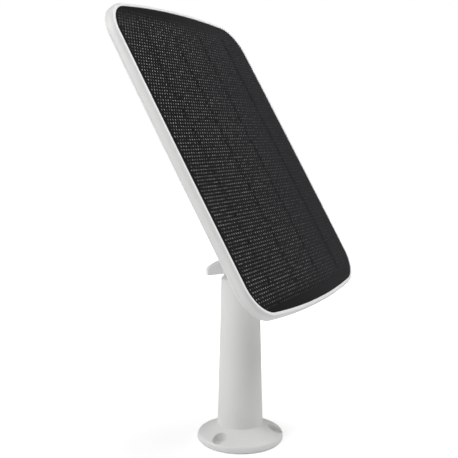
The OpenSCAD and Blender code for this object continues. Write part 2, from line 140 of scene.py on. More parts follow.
class PanelSizes(PropertyGroup):
    """Sizes of the panel's tub and of the box behind it"""
    width: length("Width", "Width of the tub", 2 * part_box("panel_shell")[1].x)
    height: length("Length", "Length of the tub", SHELL_HIGH - SHELL_LOW)
    thickness: length("Thickness", "Thickness of the tub at its edge", 6.4 * MM)
    corner_radius: length("Corner radius", "Radius of the tub's corners", 21.4 * MM)
    end_bow: length("End bow", "How far the short ends bow outwards", 5.6 * MM)
    side_bow: length("Side bow", "How far the long sides bow outwards", 0.6 * MM)
    rim_width: length("Rim width", "Width of the rim round the dark face", 2.7 * MM)
    lip_width: length("Lip width", "Width of the rim's flat front lip", 0.95 * MM)
    roll_depth: length("Roll depth", "Depth of the rounding outside that lip", 2.6 * MM)
    ledge_width: length("Ledge width", "Width of the ledge that carries the laminate", 5.4 * MM)
    ledge_depth: length("Ledge depth", "Depth of that ledge below the lip", 3.3 * MM)
    wall: length("Wall", "Thickness of the tub's back wall", 1.5 * MM)
    seam_depth: length("Seam depth", "Depth below the lip of the fine line round the side", 4.9 * MM)
    boss_radius: length("Boss radius", "Radius of the boss at the nut", 13 * MM)
    boss_foot: length("Boss foot radius", "Radius of the boss at the back wall", 15 * MM)
    box_wall: length("Box wall", "Thickness of the connection box's walls", 2 * MM)
    box_corner: length("Box corner radius", "Radius of the connection box's corners", 8 * MM)


class FilmSizes(PropertyGroup):
    """The raised dots of the textured film"""
    pitch: length("Dot pitch", "Distance between dots along a row", 2.43 * MM)
    row_pitch: length("Row pitch", "Distance between rows of dots", 2.045 * MM)
    dot_width: length("Dot width", "Width of a dot at its foot", 1.0 * MM)
    dot_length: length("Dot length", "Length of a dot at its foot", 2.0 * MM)
    dot_height: length("Dot height", "Height of a dot above the film", 0.26 * MM)
    field_width: length("Field width", "Width of the field of dots", 140 * MM)
    field_length: length("Field length", "Length of the field of dots", 186 * MM)
    strong_length: length("Strong length", "Length over which the dots show fully", 168 * MM)
    depth: length("Film depth", "Depth of the film below the lip", 0.3 * MM)
    thickness: length("Film thickness", "Thickness of the film", 0.3 * MM)


class PostSizes(PropertyGroup):
    """Sizes of the post and of its base disc"""
    base_radius: length("Base radius", "Radius of the base disc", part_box("base_post")[1].x)
    edge_radius: length("Edge radius", "Radius of the disc's rounded edge", 2.6 * MM)
    edge_height: length("Edge height", "Height of the disc's upright edge", 2.4 * MM)
    slope: turn("Slope", "Slope of the disc's conical top", 27)
    foot_radius: length("Foot radius", "Radius of the post at its foot", 14.2 * MM)
    top_radius: length("Top radius", "Radius of the post at its shoulder", 11.9 * MM)
    shoulder: length("Shoulder height", "Height of the post's shoulder", 103.1 * MM)
    bevel: length("Bevel", "Depth of the bevel above the shoulder", 2.25 * MM)
    foot_fillet: length("Foot fillet", "Radius where the post meets the disc", 0.8 * MM)
    screw_circle: length("Screw circle", "Radius of the circle through the screw holes", 21.9 * MM)
    screw_hole: length("Screw hole", "Radius of a screw's clearance hole", 2.2 * MM)
    screw_seat: length("Screw seat", "Radius of a sunk screw seat", 4.3 * MM)
    seat_floor: length("Seat floor", "Height of the sunk seats' floors", 3.2 * MM)
    screw_turn: turn("Screw direction", "Direction of the first screw hole", 173)
    rib_turn: turn("Rib direction", "Direction of the two fine ribs at the post's foot", 200)
    rib_height: length("Rib height", "Height of those ribs", 11 * MM)
    screws: IntProperty(name="Screws", description="Number of wall screws", default=3, min=2, max=6)


class JointSizes(PropertyGroup):
    """Sizes of the ball joint, its collar and the lock nut"""
    ball_radius: length("Ball radius", "Radius of the ball", 9 * MM)
    waist_radius: length("Waist radius", "Radius of the stud next to the ball", 2.5 * MM)
    stud_radius: length("Stud radius", "Radius of the stud's thread", 3.1 * MM)
    thread_pitch: length("Thread pitch", "Distance between the thread's crests", 1.27 * MM)
    gap: length("Running gap", "Clearance between turning surfaces", 0.08 * MM)
    socket_radius: length("Socket radius", "Radius of the socket inside the collar", 10.3 * MM)
    collar_radius: length("Collar radius", "Radius of the collar's hub", 12.9 * MM)
    collar_foot: length("Collar foot", "Depth of the collar's foot below the ball's centre", 7.4 * MM)
    collar_rim: length("Collar rim", "Height of the collar's rim above the ball's centre", 2.9 * MM)
    wing_reach: length("Wing reach", "Radius to the tips of the wings", 22.5 * MM)
    wing_thickness: length("Wing thickness", "Thickness of each wing", 3.6 * MM)
    wing_tip: length("Wing tip height", "Height of a wing at its tip", 3.8 * MM)
    wing_root: length("Wing root height", "Height of a wing at the hub", 9.2 * MM)
    wing_turn: turn("Wing direction", "Direction of the first wing at rest", 144)
    nut_radius: length("Nut radius", "Radius of the lock nut", 9.5 * MM)
    nut_grooves: IntProperty(name="Nut grooves", description="Grooves round the lock nut", default=24,
                             min=8, max=48)


class Finishes(PropertyGroup):
    """Colours of the finishes that show"""
    white: colour("White moulding", "Moulded parts in white", (0.80, 0.80, 0.79))
    # Painted highlight: a brighter colour laid on the tub's lip in place of the light that it catches.
    lip: colour("Lip", "Brighter lip round the dark face", (0.99, 0.99, 0.99))
    soft_white: colour("Soft white", "Lock nut and socket", (0.74, 0.74, 0.73))
    film: colour("Film", "Textured film over the cells", (0.0075, 0.0075, 0.008))
    # Painted sheen, not wear: the lighter film colour towards the right of the dark face stands in for reflected
    # light.
    film_painted_sheen: colour("Worn film", "Film towards the side that is handled", (0.028, 0.028, 0.0305))
    # Painted glints: the light colour laid on the tops of the raised dots stands in for light glinting off them.
    film_dot_glint: colour("Film dots", "Raised dots of the film", (0.95, 0.95, 0.96))
    band: colour("Ribbon bands", "Film over the ribbons", (0.003, 0.003, 0.0034))
    steel: colour("Steel", "Stud, ring and screws", (0.56, 0.57, 0.59))
    brass: colour("Brass", "Threaded insert", (0.70, 0.50, 0.22))
    rubber: colour("Black rubber", "Gasket of the connection box", (0.018, 0.018, 0.019))
    nylon: colour("Black nylon", "Cable gland", (0.025, 0.025, 0.027))


class StageSettings(PropertyGroup):
    """The camera, the lamps and the floor"""
    azimuth: turn("Camera azimuth", "Direction of the camera round the post", -61.147)
    drop: turn("Camera drop", "How far the camera looks down", 7.22)
    distance: length("Camera distance", "Distance of the camera from the post's axis", 0.4707)
    aim_height: length("Aim height", "Height that the camera aims at", 0.13333)
    aim_aside: length("Aim aside", "How far the aim lies to the left of the post", 0.00707)
    lens: FloatProperty(name="Lens", description="Focal length on a 36 mm sensor", default=60.3,
                        unit="CAMERA")
    sky: FloatProperty(name="Sky", description="Strength of the even light from all round", default=0.06,
                       min=0.0, max=4.0, precision=3, subtype="FACTOR")
    lamp_size: length("Lamp size", "Width of each square lamp", 0.7, high=5.0)
    lamp_height: length("Lamp centre", "Height of the point that the lamps aim at", 0.13)
    key: power("Key lamp", "Power of the lamp on the left", 5.1)
    front: power("Front lamp", "Power of the lamp above the camera", 2.4)
    rear_left: power("Rear left lamp", "Power of the lamp behind on the left", 1.8)
    right_low: power("Low right lamp", "Power of the low lamp on the right", 1.5)
    right_high: power("High right lamp", "Power of the high lamp on the right", 5.9)
    floor_white: colour("Floor", "Colour of the floor", (0.92, 0.92, 0.92))


def settings():
    """The add-on's settings on the current scene."""
    return bpy.context.scene.solar_panel_post


# Outlines

def arc(centre, radius, start, end, steps):
    """Points along an arc, both ends included, as 2D vectors."""
    angles = [start + (end - start) * k / steps for k in range(steps + 1)]
    return [Vector((centre[0] + radius * math.cos(a), centre[1] + radius * math.sin(a))) for a in angles]


def rounded(points, closed=True, steps=5):
    """An outline of (x, y) or (x, y, radius) points, with an arc at each corner that has a radius."""
    corners = [(Vector(p[:2]), p[2] if len(p) > 2 else 0.0) for p in points]
    outline = []
    for k, (here, radius) in enumerate(corners):
        if radius == 0 or (not closed and k in (0, len(corners) - 1)):
            outline.append(here)
            continue
        back = (corners[k - 1][0] - here).normalized()
        ahead = (corners[(k + 1) % len(corners)][0] - here).normalized()
        half = back.angle(ahead) / 2
        centre = here + (back + ahead).normalized() * (radius / math.sin(half))
        first = here + back * (radius / math.tan(half)) - centre
        last = here + ahead * (radius / math.tan(half)) - centre
        start = math.atan2(first.y, first.x)
        sweep = (math.atan2(last.y, last.x) - start + math.pi) % TURN - math.pi
        outline += arc(centre, radius, start, start + sweep, steps)
    return outline


def mirrored_round(quarter):
    """Closes a quarter outline, drawn clockwise from the top to the right, into the whole of it."""
    right = quarter + [Vector((p.x, -p.y)) for p in reversed(quarter[:-1])]
    return right + [Vector((-p.x, p.y)) for p in reversed(right[1:-1])]


def tub_outline(sizes, inset, end_steps=10, corner_steps=14, side_steps=6):
    """The tub's outline moved in by inset: bowed ends and sides joined by tangent corner arcs."""
    half_w, half_l, corner = sizes.width / 2, sizes.height / 2, sizes.corner_radius
    end_r = (half_w ** 2 + sizes.end_bow ** 2) / (2 * sizes.end_bow)
    side_r = (half_l ** 2 + sizes.side_bow ** 2) / (2 * sizes.side_bow)
    end_c, side_c = Vector((0, half_l - end_r)), Vector((half_w - side_r, 0))
    apart = (side_c - end_c).length
    along = ((end_r - corner) ** 2 - (side_r - corner) ** 2 + apart ** 2) / (2 * apart)
    off = math.sqrt((end_r - corner) ** 2 - along ** 2)
    to_side = (side_c - end_c) / apart
    corner_c = end_c + along * to_side + off * Vector((to_side.y, -to_side.x))
    end_a = math.atan2(corner_c.y - end_c.y, corner_c.x - end_c.x)
    side_a = math.atan2(corner_c.y - side_c.y, corner_c.x - side_c.x)
    quarter = (arc(end_c, end_r - inset, QUARTER, end_a, end_steps)
               + arc(corner_c, corner - inset, end_a, side_a, corner_steps)[1:]
               + arc(side_c, side_r - inset, side_a, 0, side_steps)[1:])
    return mirrored_round(quarter)


def box_outline(corner, inset, steps=8):
    """The connection box's rounded rectangle moved in by inset."""
    width, height = BOX_SIZE
    x, y, r = width / 2 - corner, height / 2 - corner, corner - inset
    quarter = [Vector((0, height / 2 - inset))] + arc((x, y), r, QUARTER, 0, steps)
    return mirrored_round(quarter + [Vector((width / 2 - inset, 0))])


# Places

def box_corners(place, height=0.0):
    """Places of four like details, each at the same distances from the connection box's centre."""
    return [Matrix.Translation(BOX_CENTRE + Vector((place[0] * x, place[1] * y, height)))
            for x, y in ((-1, -1), (-1, 1), (1, -1), (1, 1))]


def around(count, radius, start=0.0):
    """Places evenly spaced round Z at a radius."""
    return [Matrix.Rotation(start + TURN * k / count, 4, "Z") @ Matrix.Translation((radius, 0, 0))
            for k in range(count)]


# Mesh work

def as_object(bm, name, holder=None):
    """A new object made from a bmesh, which is used up, in a collection or else in the scene."""
    mesh = bpy.data.meshes.new(name)
    bm.to_mesh(mesh)
    bm.free()
    made = bpy.data.objects.new(name, mesh)
    (holder or bpy.context.scene.collection).objects.link(made)
    return made


def applied(piece):
    """A bmesh of an object with its modifiers applied."""
    bpy.context.view_layer.update()
    result = bmesh.new()
    result.from_mesh(piece.evaluated_get(bpy.context.evaluated_depsgraph_get()).to_mesh())
    return result


def discard(pieces):
    """Removes scratch objects with their meshes."""
    for piece in pieces:
        mesh = piece.data
        bpy.data.objects.remove(piece)
        bpy.data.meshes.remove(mesh)


def absorb(bm, other):
    """Adds another bmesh's faces to a bmesh. The other is used up."""
    mesh = bpy.data.meshes.new("absorbed")
    other.to_mesh(mesh)
    other.free()
    bm.from_mesh(mesh)
    bpy.data.meshes.remove(mesh)


def add_ring(bm, outline, height):
    """A closed loop of edges at a height, drawn from an outline."""
    verts = [bm.verts.new((p.x, p.y, height)) for p in outline]
    return [bm.edges.new((a, b)) for a, b in zip(verts, verts[1:] + verts[:1])]


def stack(bm, outline, profile, ends=True):
    """Lays one ring for each (inset, height) of a profile and joins each to the next.
    The first and last rings are filled, or joined to each other where ends is false.
    Rings are joined while they are spread far apart, so that level neighbours can't be joined back
    to front."""
    spread = 20 * MM
    rings = [add_ring(bm, outline(inset), spread * k) for k, (inset, _) in enumerate(profile)]
    for lower, upper in zip(rings, rings[1:] if ends else rings[1:] + rings[:1]):
        bmesh.ops.bridge_loops(bm, edges=lower + upper)
    if ends:
        bmesh.ops.contextual_create(bm, geom=rings[0])
        bmesh.ops.contextual_create(bm, geom=rings[-1])
    for k, (ring, (_, height)) in enumerate(zip(rings, profile)):
        bmesh.ops.translate(bm, verts=list({v for e in ring for v in e.verts}),
                            vec=(0, 0, height - spread * k))


def lathe(bm, profile, steps=96, closed=True):
    """Spins an outline of (radius, height) points about Z."""
    verts = [bm.verts.new((p[0], 0, p[1])) for p in profile]
    pairs = zip(verts, verts[1:] + verts[:1]) if closed else zip(verts, verts[1:])
    edges = [bm.edges.new(pair) for pair in pairs]
    bmesh.ops.spin(bm, geom=verts + edges, cent=(0, 0, 0), axis=(0, 0, 1), angle=TURN, steps=steps,
                   use_merge=True)
    tidy(bm)


def tidy(bm):
    """Merges doubles and turns the faces outwards."""
    bmesh.ops.remove_doubles(bm, verts=bm.verts, dist=SAME_POINT)
    bmesh.ops.dissolve_degenerate(bm, edges=bm.edges, dist=NO_EDGE)
    bmesh.ops.recalc_face_normals(bm, faces=bm.faces)


def shape(build, *arguments, place=None, **options):
    """A new bmesh made by a building function, then put in place."""
    bm = bmesh.new()
    build(bm, *arguments, **options)
    tidy(bm)
    if place is not None:
        bmesh.ops.transform(bm, matrix=place, verts=bm.verts)
    return bm


def cylinder(bm, radius, low, high, segments=32):
    """A plain round bar between two heights."""
    bmesh.ops.create_cone(bm, cap_ends=True, segments=segments, radius1=radius, radius2=radius,
                          depth=high - low, matrix=Matrix.Translation((0, 0, (low + high) / 2)))


def block(bm, size, centre=(0, 0, 0)):
    """A plain block."""
    bmesh.ops.create_cube(bm, size=1, matrix=Matrix.Translation(centre) @ Matrix.Diagonal((*size, 1)))


def round_edges(bm, radius, chosen=lambda edge: True, angle=25):
    """Bevels the chosen edges that are sharper than an angle in degrees."""
    edges = [e for e in bm.edges
             if e.is_manifold and e.calc_face_angle() > math.radians(angle) and chosen(e)]
    bmesh.ops.bevel(bm, geom=edges, offset=radius, offset_type="OFFSET", segments=3, profile=0.5,
                    affect="EDGES", material=-1, clamp_overlap=True)


def combine(body, additions=(), cuts=()):
    """Joins solids to a body and cuts others out of it, and gives the result as one bmesh."""
    target = as_object(body, "body")
    groups, scratch = [], [target]
    for operation, solids in (("UNION", additions), ("DIFFERENCE", cuts)):
        if not solids:
            continue
        group = bpy.data.collections.new(operation.lower())
        bpy.context.scene.collection.children.link(group)
        scratch += [as_object(solid, operation.lower(), group) for solid in solids]
        cutter = target.modifiers.new(operation.title(), "BOOLEAN")
        cutter.operation, cutter.operand_type, cutter.collection, cutter.solver = (
            operation, "COLLECTION", group, "EXACT")
        groups.append(group)
    result = applied(target)
    discard(scratch)
    for group in groups:
        bpy.data.collections.remove(group)
    bmesh.ops.remove_doubles(result, verts=result.verts, dist=SAME_POINT)
    bmesh.ops.dissolve_degenerate(result, edges=result.edges, dist=SAME_POINT)
    open_edges = sum(not edge.is_manifold for edge in result.edges)
    if open_edges or not result.faces:
        raise RuntimeError(f"a combined solid has {open_edges} open edges and {len(result.faces)} faces")
    return result


def finish_piece(bm, name, body, material, replaced, place=None, sharp=30.0):
    """Turns a bmesh into a finished piece that rides on a body of the frame.
    Edges sharper than a number of degrees keep a crease."""
    if place is not None:
        bmesh.ops.transform(bm, matrix=place, verts=bm.verts)
    limit = math.radians(sharp)
    for face in bm.faces:
        face.smooth = True
    for edge in bm.edges:
        edge.smooth = not edge.is_manifold or edge.calc_face_angle() < limit
    if not bm.faces:
        raise RuntimeError(f"{name} came out empty")
    piece = as_object(bm, name)
    piece.data.materials.append(material)
    even = piece.modifiers.new("Even shading", "WEIGHTED_NORMAL")
    even.keep_sharp = True
    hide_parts(*replaced)
    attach(piece, body)


# Shader nodes

def group_output(name, inputs, outputs):
    """A new shader node group with its sockets made: gives the group, its input node and output node."""
    group = bpy.data.node_groups.new(name, "ShaderNodeTree")
    for label, kind, default in inputs:
        socket = group.interface.new_socket(label, in_out="INPUT", socket_type=kind)
        socket.default_value = default
    for label, kind in outputs:
        group.interface.new_socket(label, in_out="OUTPUT", socket_type=kind)
    return group, group.nodes.new("NodeGroupInput"), group.nodes.new("NodeGroupOutput")


def node(tree, kind, links=(), **values):
    """Adds a node, sets its plain properties and links or sets its inputs."""
    made = tree.nodes.new(kind)
    for key, value in values.items():
        setattr(made, key, value)
    for key, value in dict(links).items():
        if isinstance(value, bpy.types.NodeSocket):
            tree.links.new(value, made.inputs[key])
        else:
            made.inputs[key].default_value = value
    return made


def math_node(tree, operation, a, b=0.0, clamp=False):
    """Adds a maths node and gives its output."""
    return node(tree, "ShaderNodeMath", {0: a, 1: b}, operation=operation, use_clamp=clamp).outputs[0]


def mix_colour(tree, factor, a, b, blend="MIX"):
    """Adds a colour mix and gives its output."""
    return node(tree, "ShaderNodeMix", {0: factor, 6: a, 7: b}, data_type="RGBA", blend_type=blend).outputs[2]


def shade(tree, rgb, tones):
    """Multiplies a colour by three tones, one for each channel."""
    tint = node(tree, "ShaderNodeCombineColor", dict(enumerate(tones))).outputs[0]
    return mix_colour(tree, 1.0, rgb, tint, "MULTIPLY")


def noise(tree, place, scale, detail, roughness=0.5):
    """Adds a noise texture and gives its value."""
    return node(tree, "ShaderNodeTexNoise", {"Vector": place, "Scale": scale, "Detail": detail,
                                             "Roughness": roughness}).outputs["Fac"]


def ramp(tree, value, start, end, first=0.0, last=1.0, smooth=False):
    """Maps start to first and end to last, level outside them, and gives the output."""
    return node(tree, "ShaderNodeMapRange",
                {"Value": value, "From Min": start, "From Max": end, "To Min": first, "To Max": last},
                interpolation_type="SMOOTHSTEP" if smooth else "LINEAR").outputs[0]


def swing(tree, value, middle, amount):
    """How far a value lies from its middle, times an amount."""
    return math_node(tree, "MULTIPLY", math_node(tree, "SUBTRACT", value, middle), amount)


def object_place(tree):
    """Object coordinates, which are the frame's own."""
    return node(tree, "ShaderNodeTexCoord").outputs["Object"]


def panel_place(tree):
    """Object coordinates turned into the panel's own frame, from its ball centre, in metres."""
    return node(tree, "ShaderNodeMapping",
                {"Vector": object_place(tree), "Location": PIVOT,
                 "Rotation": (math.acos(FACE_NORMAL.z), 0, 0)}, vector_type="TEXTURE").outputs[0]


def moulding_group():
    """Fine spark-eroded grain, slow drift of tone and a little handling dust, for moulded parts."""
    name = "Moulded surface"
    if name in bpy.data.node_groups:
        return bpy.data.node_groups[name]
    drift_size, dust_size, dust_level, dust_contrast = 22.0, 160.0, 0.58, 6.0
    grain_roughness, dust_roughness, warmth = 0.12, 0.08, 0.002
    tree, given, out = group_output(
        name,
        [("Colour", "NodeSocketColor", (0.8, 0.8, 0.8, 1)), ("Grain Size", "NodeSocketFloat", 1800.0),
         ("Tone Drift", "NodeSocketFloat", 0.04), ("Roughness", "NodeSocketFloat", 0.45),
         ("Dust", "NodeSocketFloat", 0.04)],
        [("Colour", "NodeSocketColor"), ("Roughness", "NodeSocketFloat"), ("Height", "NodeSocketFloat")])
    place = object_place(tree)
    grain = noise(tree, place, given.outputs["Grain Size"], 3.0, 0.6)
    drift = noise(tree, place, drift_size, 4.0)
    dust = noise(tree, place, dust_size, 6.0, 0.7)
    specks = math_node(tree, "MULTIPLY", math_node(tree, "SUBTRACT", dust, dust_level, clamp=True),
                       dust_contrast, clamp=True)
    tone = math_node(tree, "SUBTRACT",
                     math_node(tree, "ADD", swing(tree, drift, 0.5, given.outputs["Tone Drift"]), 1.0),
                     math_node(tree, "MULTIPLY", specks, given.outputs["Dust"]))
    blue = math_node(tree, "SUBTRACT", tone, warmth)
    rough = math_node(tree, "ADD", given.outputs["Roughness"], swing(tree, grain, 0.5, grain_roughness),
                      clamp=True)
    rough = math_node(tree, "ADD", rough, math_node(tree, "MULTIPLY", specks, dust_roughness), clamp=True)
    tree.links.new(shade(tree, given.outputs["Colour"], (tone, tone, blue)), out.inputs["Colour"])
    tree.links.new(rough, out.inputs["Roughness"])
    tree.links.new(grain, out.inputs["Height"])
    return tree


def metal_group():
    """Worked metal: fine scratches stretched across the post's axis, and clouded tone and gloss."""
    name = "Worked metal"
    if name in bpy.data.node_groups:
        return bpy.data.node_groups[name]
    stretch, cloud_size, cloud_tone, scratch_tone = (0.15, 0.15, 1.0), 90.0, 0.22, 0.12
    darkest_tone, cloud_roughness = 0.83, 0.35
    tree, given, out = group_output(
        name,
        [("Colour", "NodeSocketColor", (0.6, 0.6, 0.6, 1)), ("Scratch Size", "NodeSocketFloat", 900.0),
         ("Roughness", "NodeSocketFloat", 0.3)],
        [("Colour", "NodeSocketColor"), ("Roughness", "NodeSocketFloat"), ("Height", "NodeSocketFloat")])
    place = object_place(tree)
    thin = node(tree, "ShaderNodeMapping", {"Vector": place, "Scale": stretch}).outputs[0]
    scratches = noise(tree, thin, given.outputs["Scratch Size"], 4.0, 0.7)
    cloud = noise(tree, place, cloud_size, 5.0)
    tone = math_node(tree, "ADD", math_node(tree, "MULTIPLY", cloud, cloud_tone),
                     math_node(tree, "MULTIPLY", scratches, scratch_tone))
    tone = math_node(tree, "ADD", tone, darkest_tone)
    rough = math_node(tree, "ADD", given.outputs["Roughness"], swing(tree, cloud, 0.5, cloud_roughness),
                      clamp=True)
    tree.links.new(shade(tree, given.outputs["Colour"], (tone, tone, tone)), out.inputs["Colour"])
    tree.links.new(rough, out.inputs["Roughness"])
    tree.links.new(scratches, out.inputs["Height"])
    return tree


# Finishes

SATIN = {"roughness": 0.42, "Coat_Weight": 0.08, "Coat_Roughness": 0.25}


def start_material(name):
    """A new material: gives it, its node tree and its shader."""
    material = bpy.data.materials.new(name)
    material.use_nodes = True
    return material, material.node_tree, material.node_tree.nodes["Principled BSDF"]


def surface(name, group, inputs, bump, bump_depth, **constants):
    """A material whose colour, roughness and bump come from a group, with constants on the shader itself."""
    material, tree, shader = start_material(name)
    effect = tree.nodes.new("ShaderNodeGroup")
    effect.node_tree = group
    for key, value in inputs.items():
        effect.inputs[key].default_value = value
    raised = node(tree, "ShaderNodeBump", {"Height": effect.outputs["Height"], "Strength": bump,
                                           "Distance": bump_depth})
    tree.links.new(effect.outputs["Colour"], shader.inputs["Base Color"])
    tree.links.new(effect.outputs["Roughness"], shader.inputs["Roughness"])
    tree.links.new(raised.outputs[0], shader.inputs["Normal"])
    for key, value in constants.items():
        shader.inputs[key.replace("_", " ")].default_value = value
    return material


def moulded(name, rgb, roughness=0.45, grain=1800.0, drift=0.04, dust=0.03, bump=0.25, **constants):
    """A moulded plastic or rubber."""
    inputs = {"Colour": (*rgb, 1), "Grain Size": grain, "Tone Drift": drift, "Roughness": roughness,
              "Dust": dust}
    return surface(name, moulding_group(), inputs, bump, 0.03 * MM, **constants)


def metal(name, rgb, roughness=0.3, scratch=900.0, bump=0.2):
    """A worked metal."""
    inputs = {"Colour": (*rgb, 1), "Scratch Size": scratch, "Roughness": roughness}
    return surface(name, metal_group(), inputs, bump, 0.02 * MM, Metallic=1.0)


def finish(slot):
    """The material for one of the record's slots, made when it is first asked for."""
    colours = settings().finishes
    makers = {
        "white_plastic": ("White moulding", moulded, dict(rgb=colours.white, **SATIN)),
        "soft_white_plastic": ("Soft white moulding", moulded,
                               dict(rgb=colours.soft_white, roughness=0.5, grain=1400.0)),
        "steel": ("Plated steel", metal, dict(rgb=colours.steel, roughness=0.28)),
        "brass": ("Turned brass", metal, dict(rgb=colours.brass, roughness=0.3, scratch=1200.0)),
        "seat_polymer": ("Low wear polymer", moulded,
                         dict(rgb=(0.035, 0.035, 0.036), roughness=0.6, grain=900.0, drift=0.1, dust=0.1)),
        "black_film": ("Textured film", film_material, {}),
        "clear_resin": ("Clear resin", moulded, dict(rgb=(0.28, 0.29, 0.31), roughness=0.15, grain=400.0,
                                                     drift=0.15, dust=0.05, bump=0.05)),
        "silicon": ("Silicon cell", silicon_material, {}),
        "ribbon_black": ("Blackened ribbon", metal, dict(rgb=(0.05, 0.05, 0.055), roughness=0.45)),
        "board": ("Circuit board", board_material, {}),
        "adhesive": ("Silicone bead", moulded, dict(rgb=(0.60, 0.60, 0.58), roughness=0.55, grain=300.0,
                                                    drift=0.1, dust=0.02, bump=0.3)),
        "wire_red": ("Red insulation", moulded,
                     dict(rgb=(0.36, 0.02, 0.015), roughness=0.4, grain=700.0, drift=0.1)),
        "wire_black": ("Black insulation", moulded,
                       dict(rgb=(0.02, 0.02, 0.02), roughness=0.4, grain=700.0, drift=0.1)),
        "ferrite": ("Moulded ferrite", moulded, dict(rgb=(0.055, 0.055, 0.06), roughness=0.65, grain=600.0,
                                                     drift=0.25, dust=0.2, bump=0.5)),
        "black_epoxy": ("Black epoxy", moulded, dict(rgb=(0.022, 0.022, 0.022), roughness=0.55,
                                                     grain=900.0, drift=0.2, dust=0.15)),
        "can_metal": ("Drawn can", metal, dict(rgb=(0.66, 0.67, 0.68), roughness=0.22, scratch=500.0)),
        "terminal_metal": ("Tinned terminal", metal,
                           dict(rgb=(0.66, 0.58, 0.40), roughness=0.35, scratch=700.0)),
        "black_rubber": ("Black rubber", moulded, dict(rgb=colours.rubber, roughness=0.75, grain=500.0,
                                                       drift=0.2, dust=0.12, bump=0.5)),
        "dark_plastic": ("Black nylon", moulded, dict(rgb=colours.nylon, roughness=0.5, grain=1100.0,
                                                      drift=0.15, dust=0.08, bump=0.4)),
        "seal_rubber": ("Seal rubber", moulded, dict(rgb=(0.33, 0.33, 0.32), roughness=0.7, grain=500.0,
                                                     drift=0.1, dust=0.05, bump=0.4)),
    }
    name, make, values = makers[slot]
    return bpy.data.materials.get(name) or make(name, **values)


def tub_material():
    """The white moulding with a painted highlight: its lip is coloured brighter, standing in for the light that
    the lip catches.
    """
    lip_foot, lip_top = FACE_HEIGHT - 0.35 * MM, FACE_HEIGHT - 0.05 * MM
    colours = settings().finishes
    material = moulded("White tub", colours.white, **SATIN)
    tree = material.node_tree
    base = tree.nodes["Principled BSDF"].inputs["Base Color"]
    height = node(tree, "ShaderNodeSeparateXYZ", {"Vector": panel_place(tree)}).outputs["Z"]
    # Painted highlight: a mask that is 1 on the lip's flat, where the brighter colour is laid.
    lip = ramp(tree, height, lip_foot, lip_top)
    tree.links.new(mix_colour(tree, lip, base.links[0].from_socket, (*colours.lip, 1)), base)
    return material


def ribbon_bands(tree, across):
    """A mask that is 1 on the soft-edged bands over the four ribbons."""
    half_width, softness = 0.9 * MM, 1.6 * MM
    low, high = (corner.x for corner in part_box("cell_ribbons"))
    mask = 0.0
    for k in range(4):
        away = math_node(tree, "ABSOLUTE",
                         math_node(tree, "SUBTRACT", across, low + (high - low) / 3 * k))
        band = ramp(tree, away, half_width, half_width + softness, 1.0, 0.0, smooth=True)
        mask = math_node(tree, "MAXIMUM", mask, band)
    return mask


def film_material(name):
    """Satin black film: darker bands over the ribbons, painted glints on the raised dots' tops, a painted sheen
    towards the right, fine grain.
    """
    dot_foot, dot_peak = 0.68, 0.97  # shares of a dot's height between which its painted glint comes in
    # Painted light across the film: the dots' painted glints fade from the left side to the right, and the film's
    # colour turns to a painted sheen towards the right.
    glint_side_x, sheen_side_x, sheen_side_dots = -60 * MM, 72 * MM, 0.1
    uneven_noise, uneven_dots, end_dots = (0.36, 0.62), (0.18, 1.1), 0.15
    band_strength, band_edge, band_dimming = 0.4, 2 * MM, 0.3
    cloud_tone, cloud_roughness, gloss = (0.85, 1.15), (0.48, 0.58), 0.08
    colours, film = settings().finishes, settings().film
    material, tree, shader = start_material(name)
    place = panel_place(tree)
    axes = node(tree, "ShaderNodeSeparateXYZ", {"Vector": place}).outputs
    bands = ribbon_bands(tree, axes["X"])
    foot = FACE_HEIGHT - film.depth
    # Painted glints: a mask that is 1 on the tops of the raised dots.
    dots = ramp(tree, axes["Z"], foot + dot_foot * film.dot_height, foot + dot_peak * film.dot_height)
    along = math_node(tree, "ABSOLUTE", math_node(tree, "SUBTRACT", axes["Y"], SHELL_MIDDLE))
    strong = film.strong_length / 2
    fade = ramp(tree, along, strong, film.field_length / 2, 1.0, end_dots, smooth=True)
    # Painted light: a mask that is 1 on the left, where the painted glints show fully, and falls towards the
    # right, where the painted sheen shows.
    painted_glint_side = ramp(tree, axes["X"], glint_side_x, sheen_side_x, 1.0, sheen_side_dots, smooth=True)
    dots = math_node(tree, "MULTIPLY", dots, math_node(tree, "MULTIPLY", fade, painted_glint_side))
    uneven = ramp(tree, noise(tree, place, 420.0, 1.0), *uneven_noise, *uneven_dots)
    dimmed = math_node(tree, "SUBTRACT", uneven, math_node(tree, "MULTIPLY", bands, band_dimming))
    dots = math_node(tree, "MULTIPLY", dots, dimmed, clamp=True)
    cloud = noise(tree, place, 60.0, 5.0)
    cells = ramp(tree, along, strong, strong + band_edge, band_strength, 0.0)
    # Painted sheen: the film's colour lightens towards the right.
    base = mix_colour(tree, painted_glint_side, (*colours.film_painted_sheen, 1), (*colours.film, 1))
    base = mix_colour(tree, math_node(tree, "MULTIPLY", bands, cells), base, (*colours.band, 1))
    # Painted glints: the dots' tops take the light colour.
    with_painted_glints = mix_colour(tree, dots, base, (*colours.film_dot_glint, 1))
    grey = ramp(tree, cloud, 0.0, 1.0, *cloud_tone)
    tree.links.new(shade(tree, with_painted_glints, (grey, grey, grey)), shader.inputs["Base Color"])
    tree.links.new(ramp(tree, cloud, 0.0, 1.0, *cloud_roughness), shader.inputs["Roughness"])
    shader.inputs["Specular IOR Level"].default_value = gloss
    grain = noise(tree, place, 2600.0, 2.0)
    raised = node(tree, "ShaderNodeBump", {"Height": grain, "Strength": 0.2, "Distance": 0.02 * MM})
    tree.links.new(raised.outputs[0], shader.inputs["Normal"])
    return material


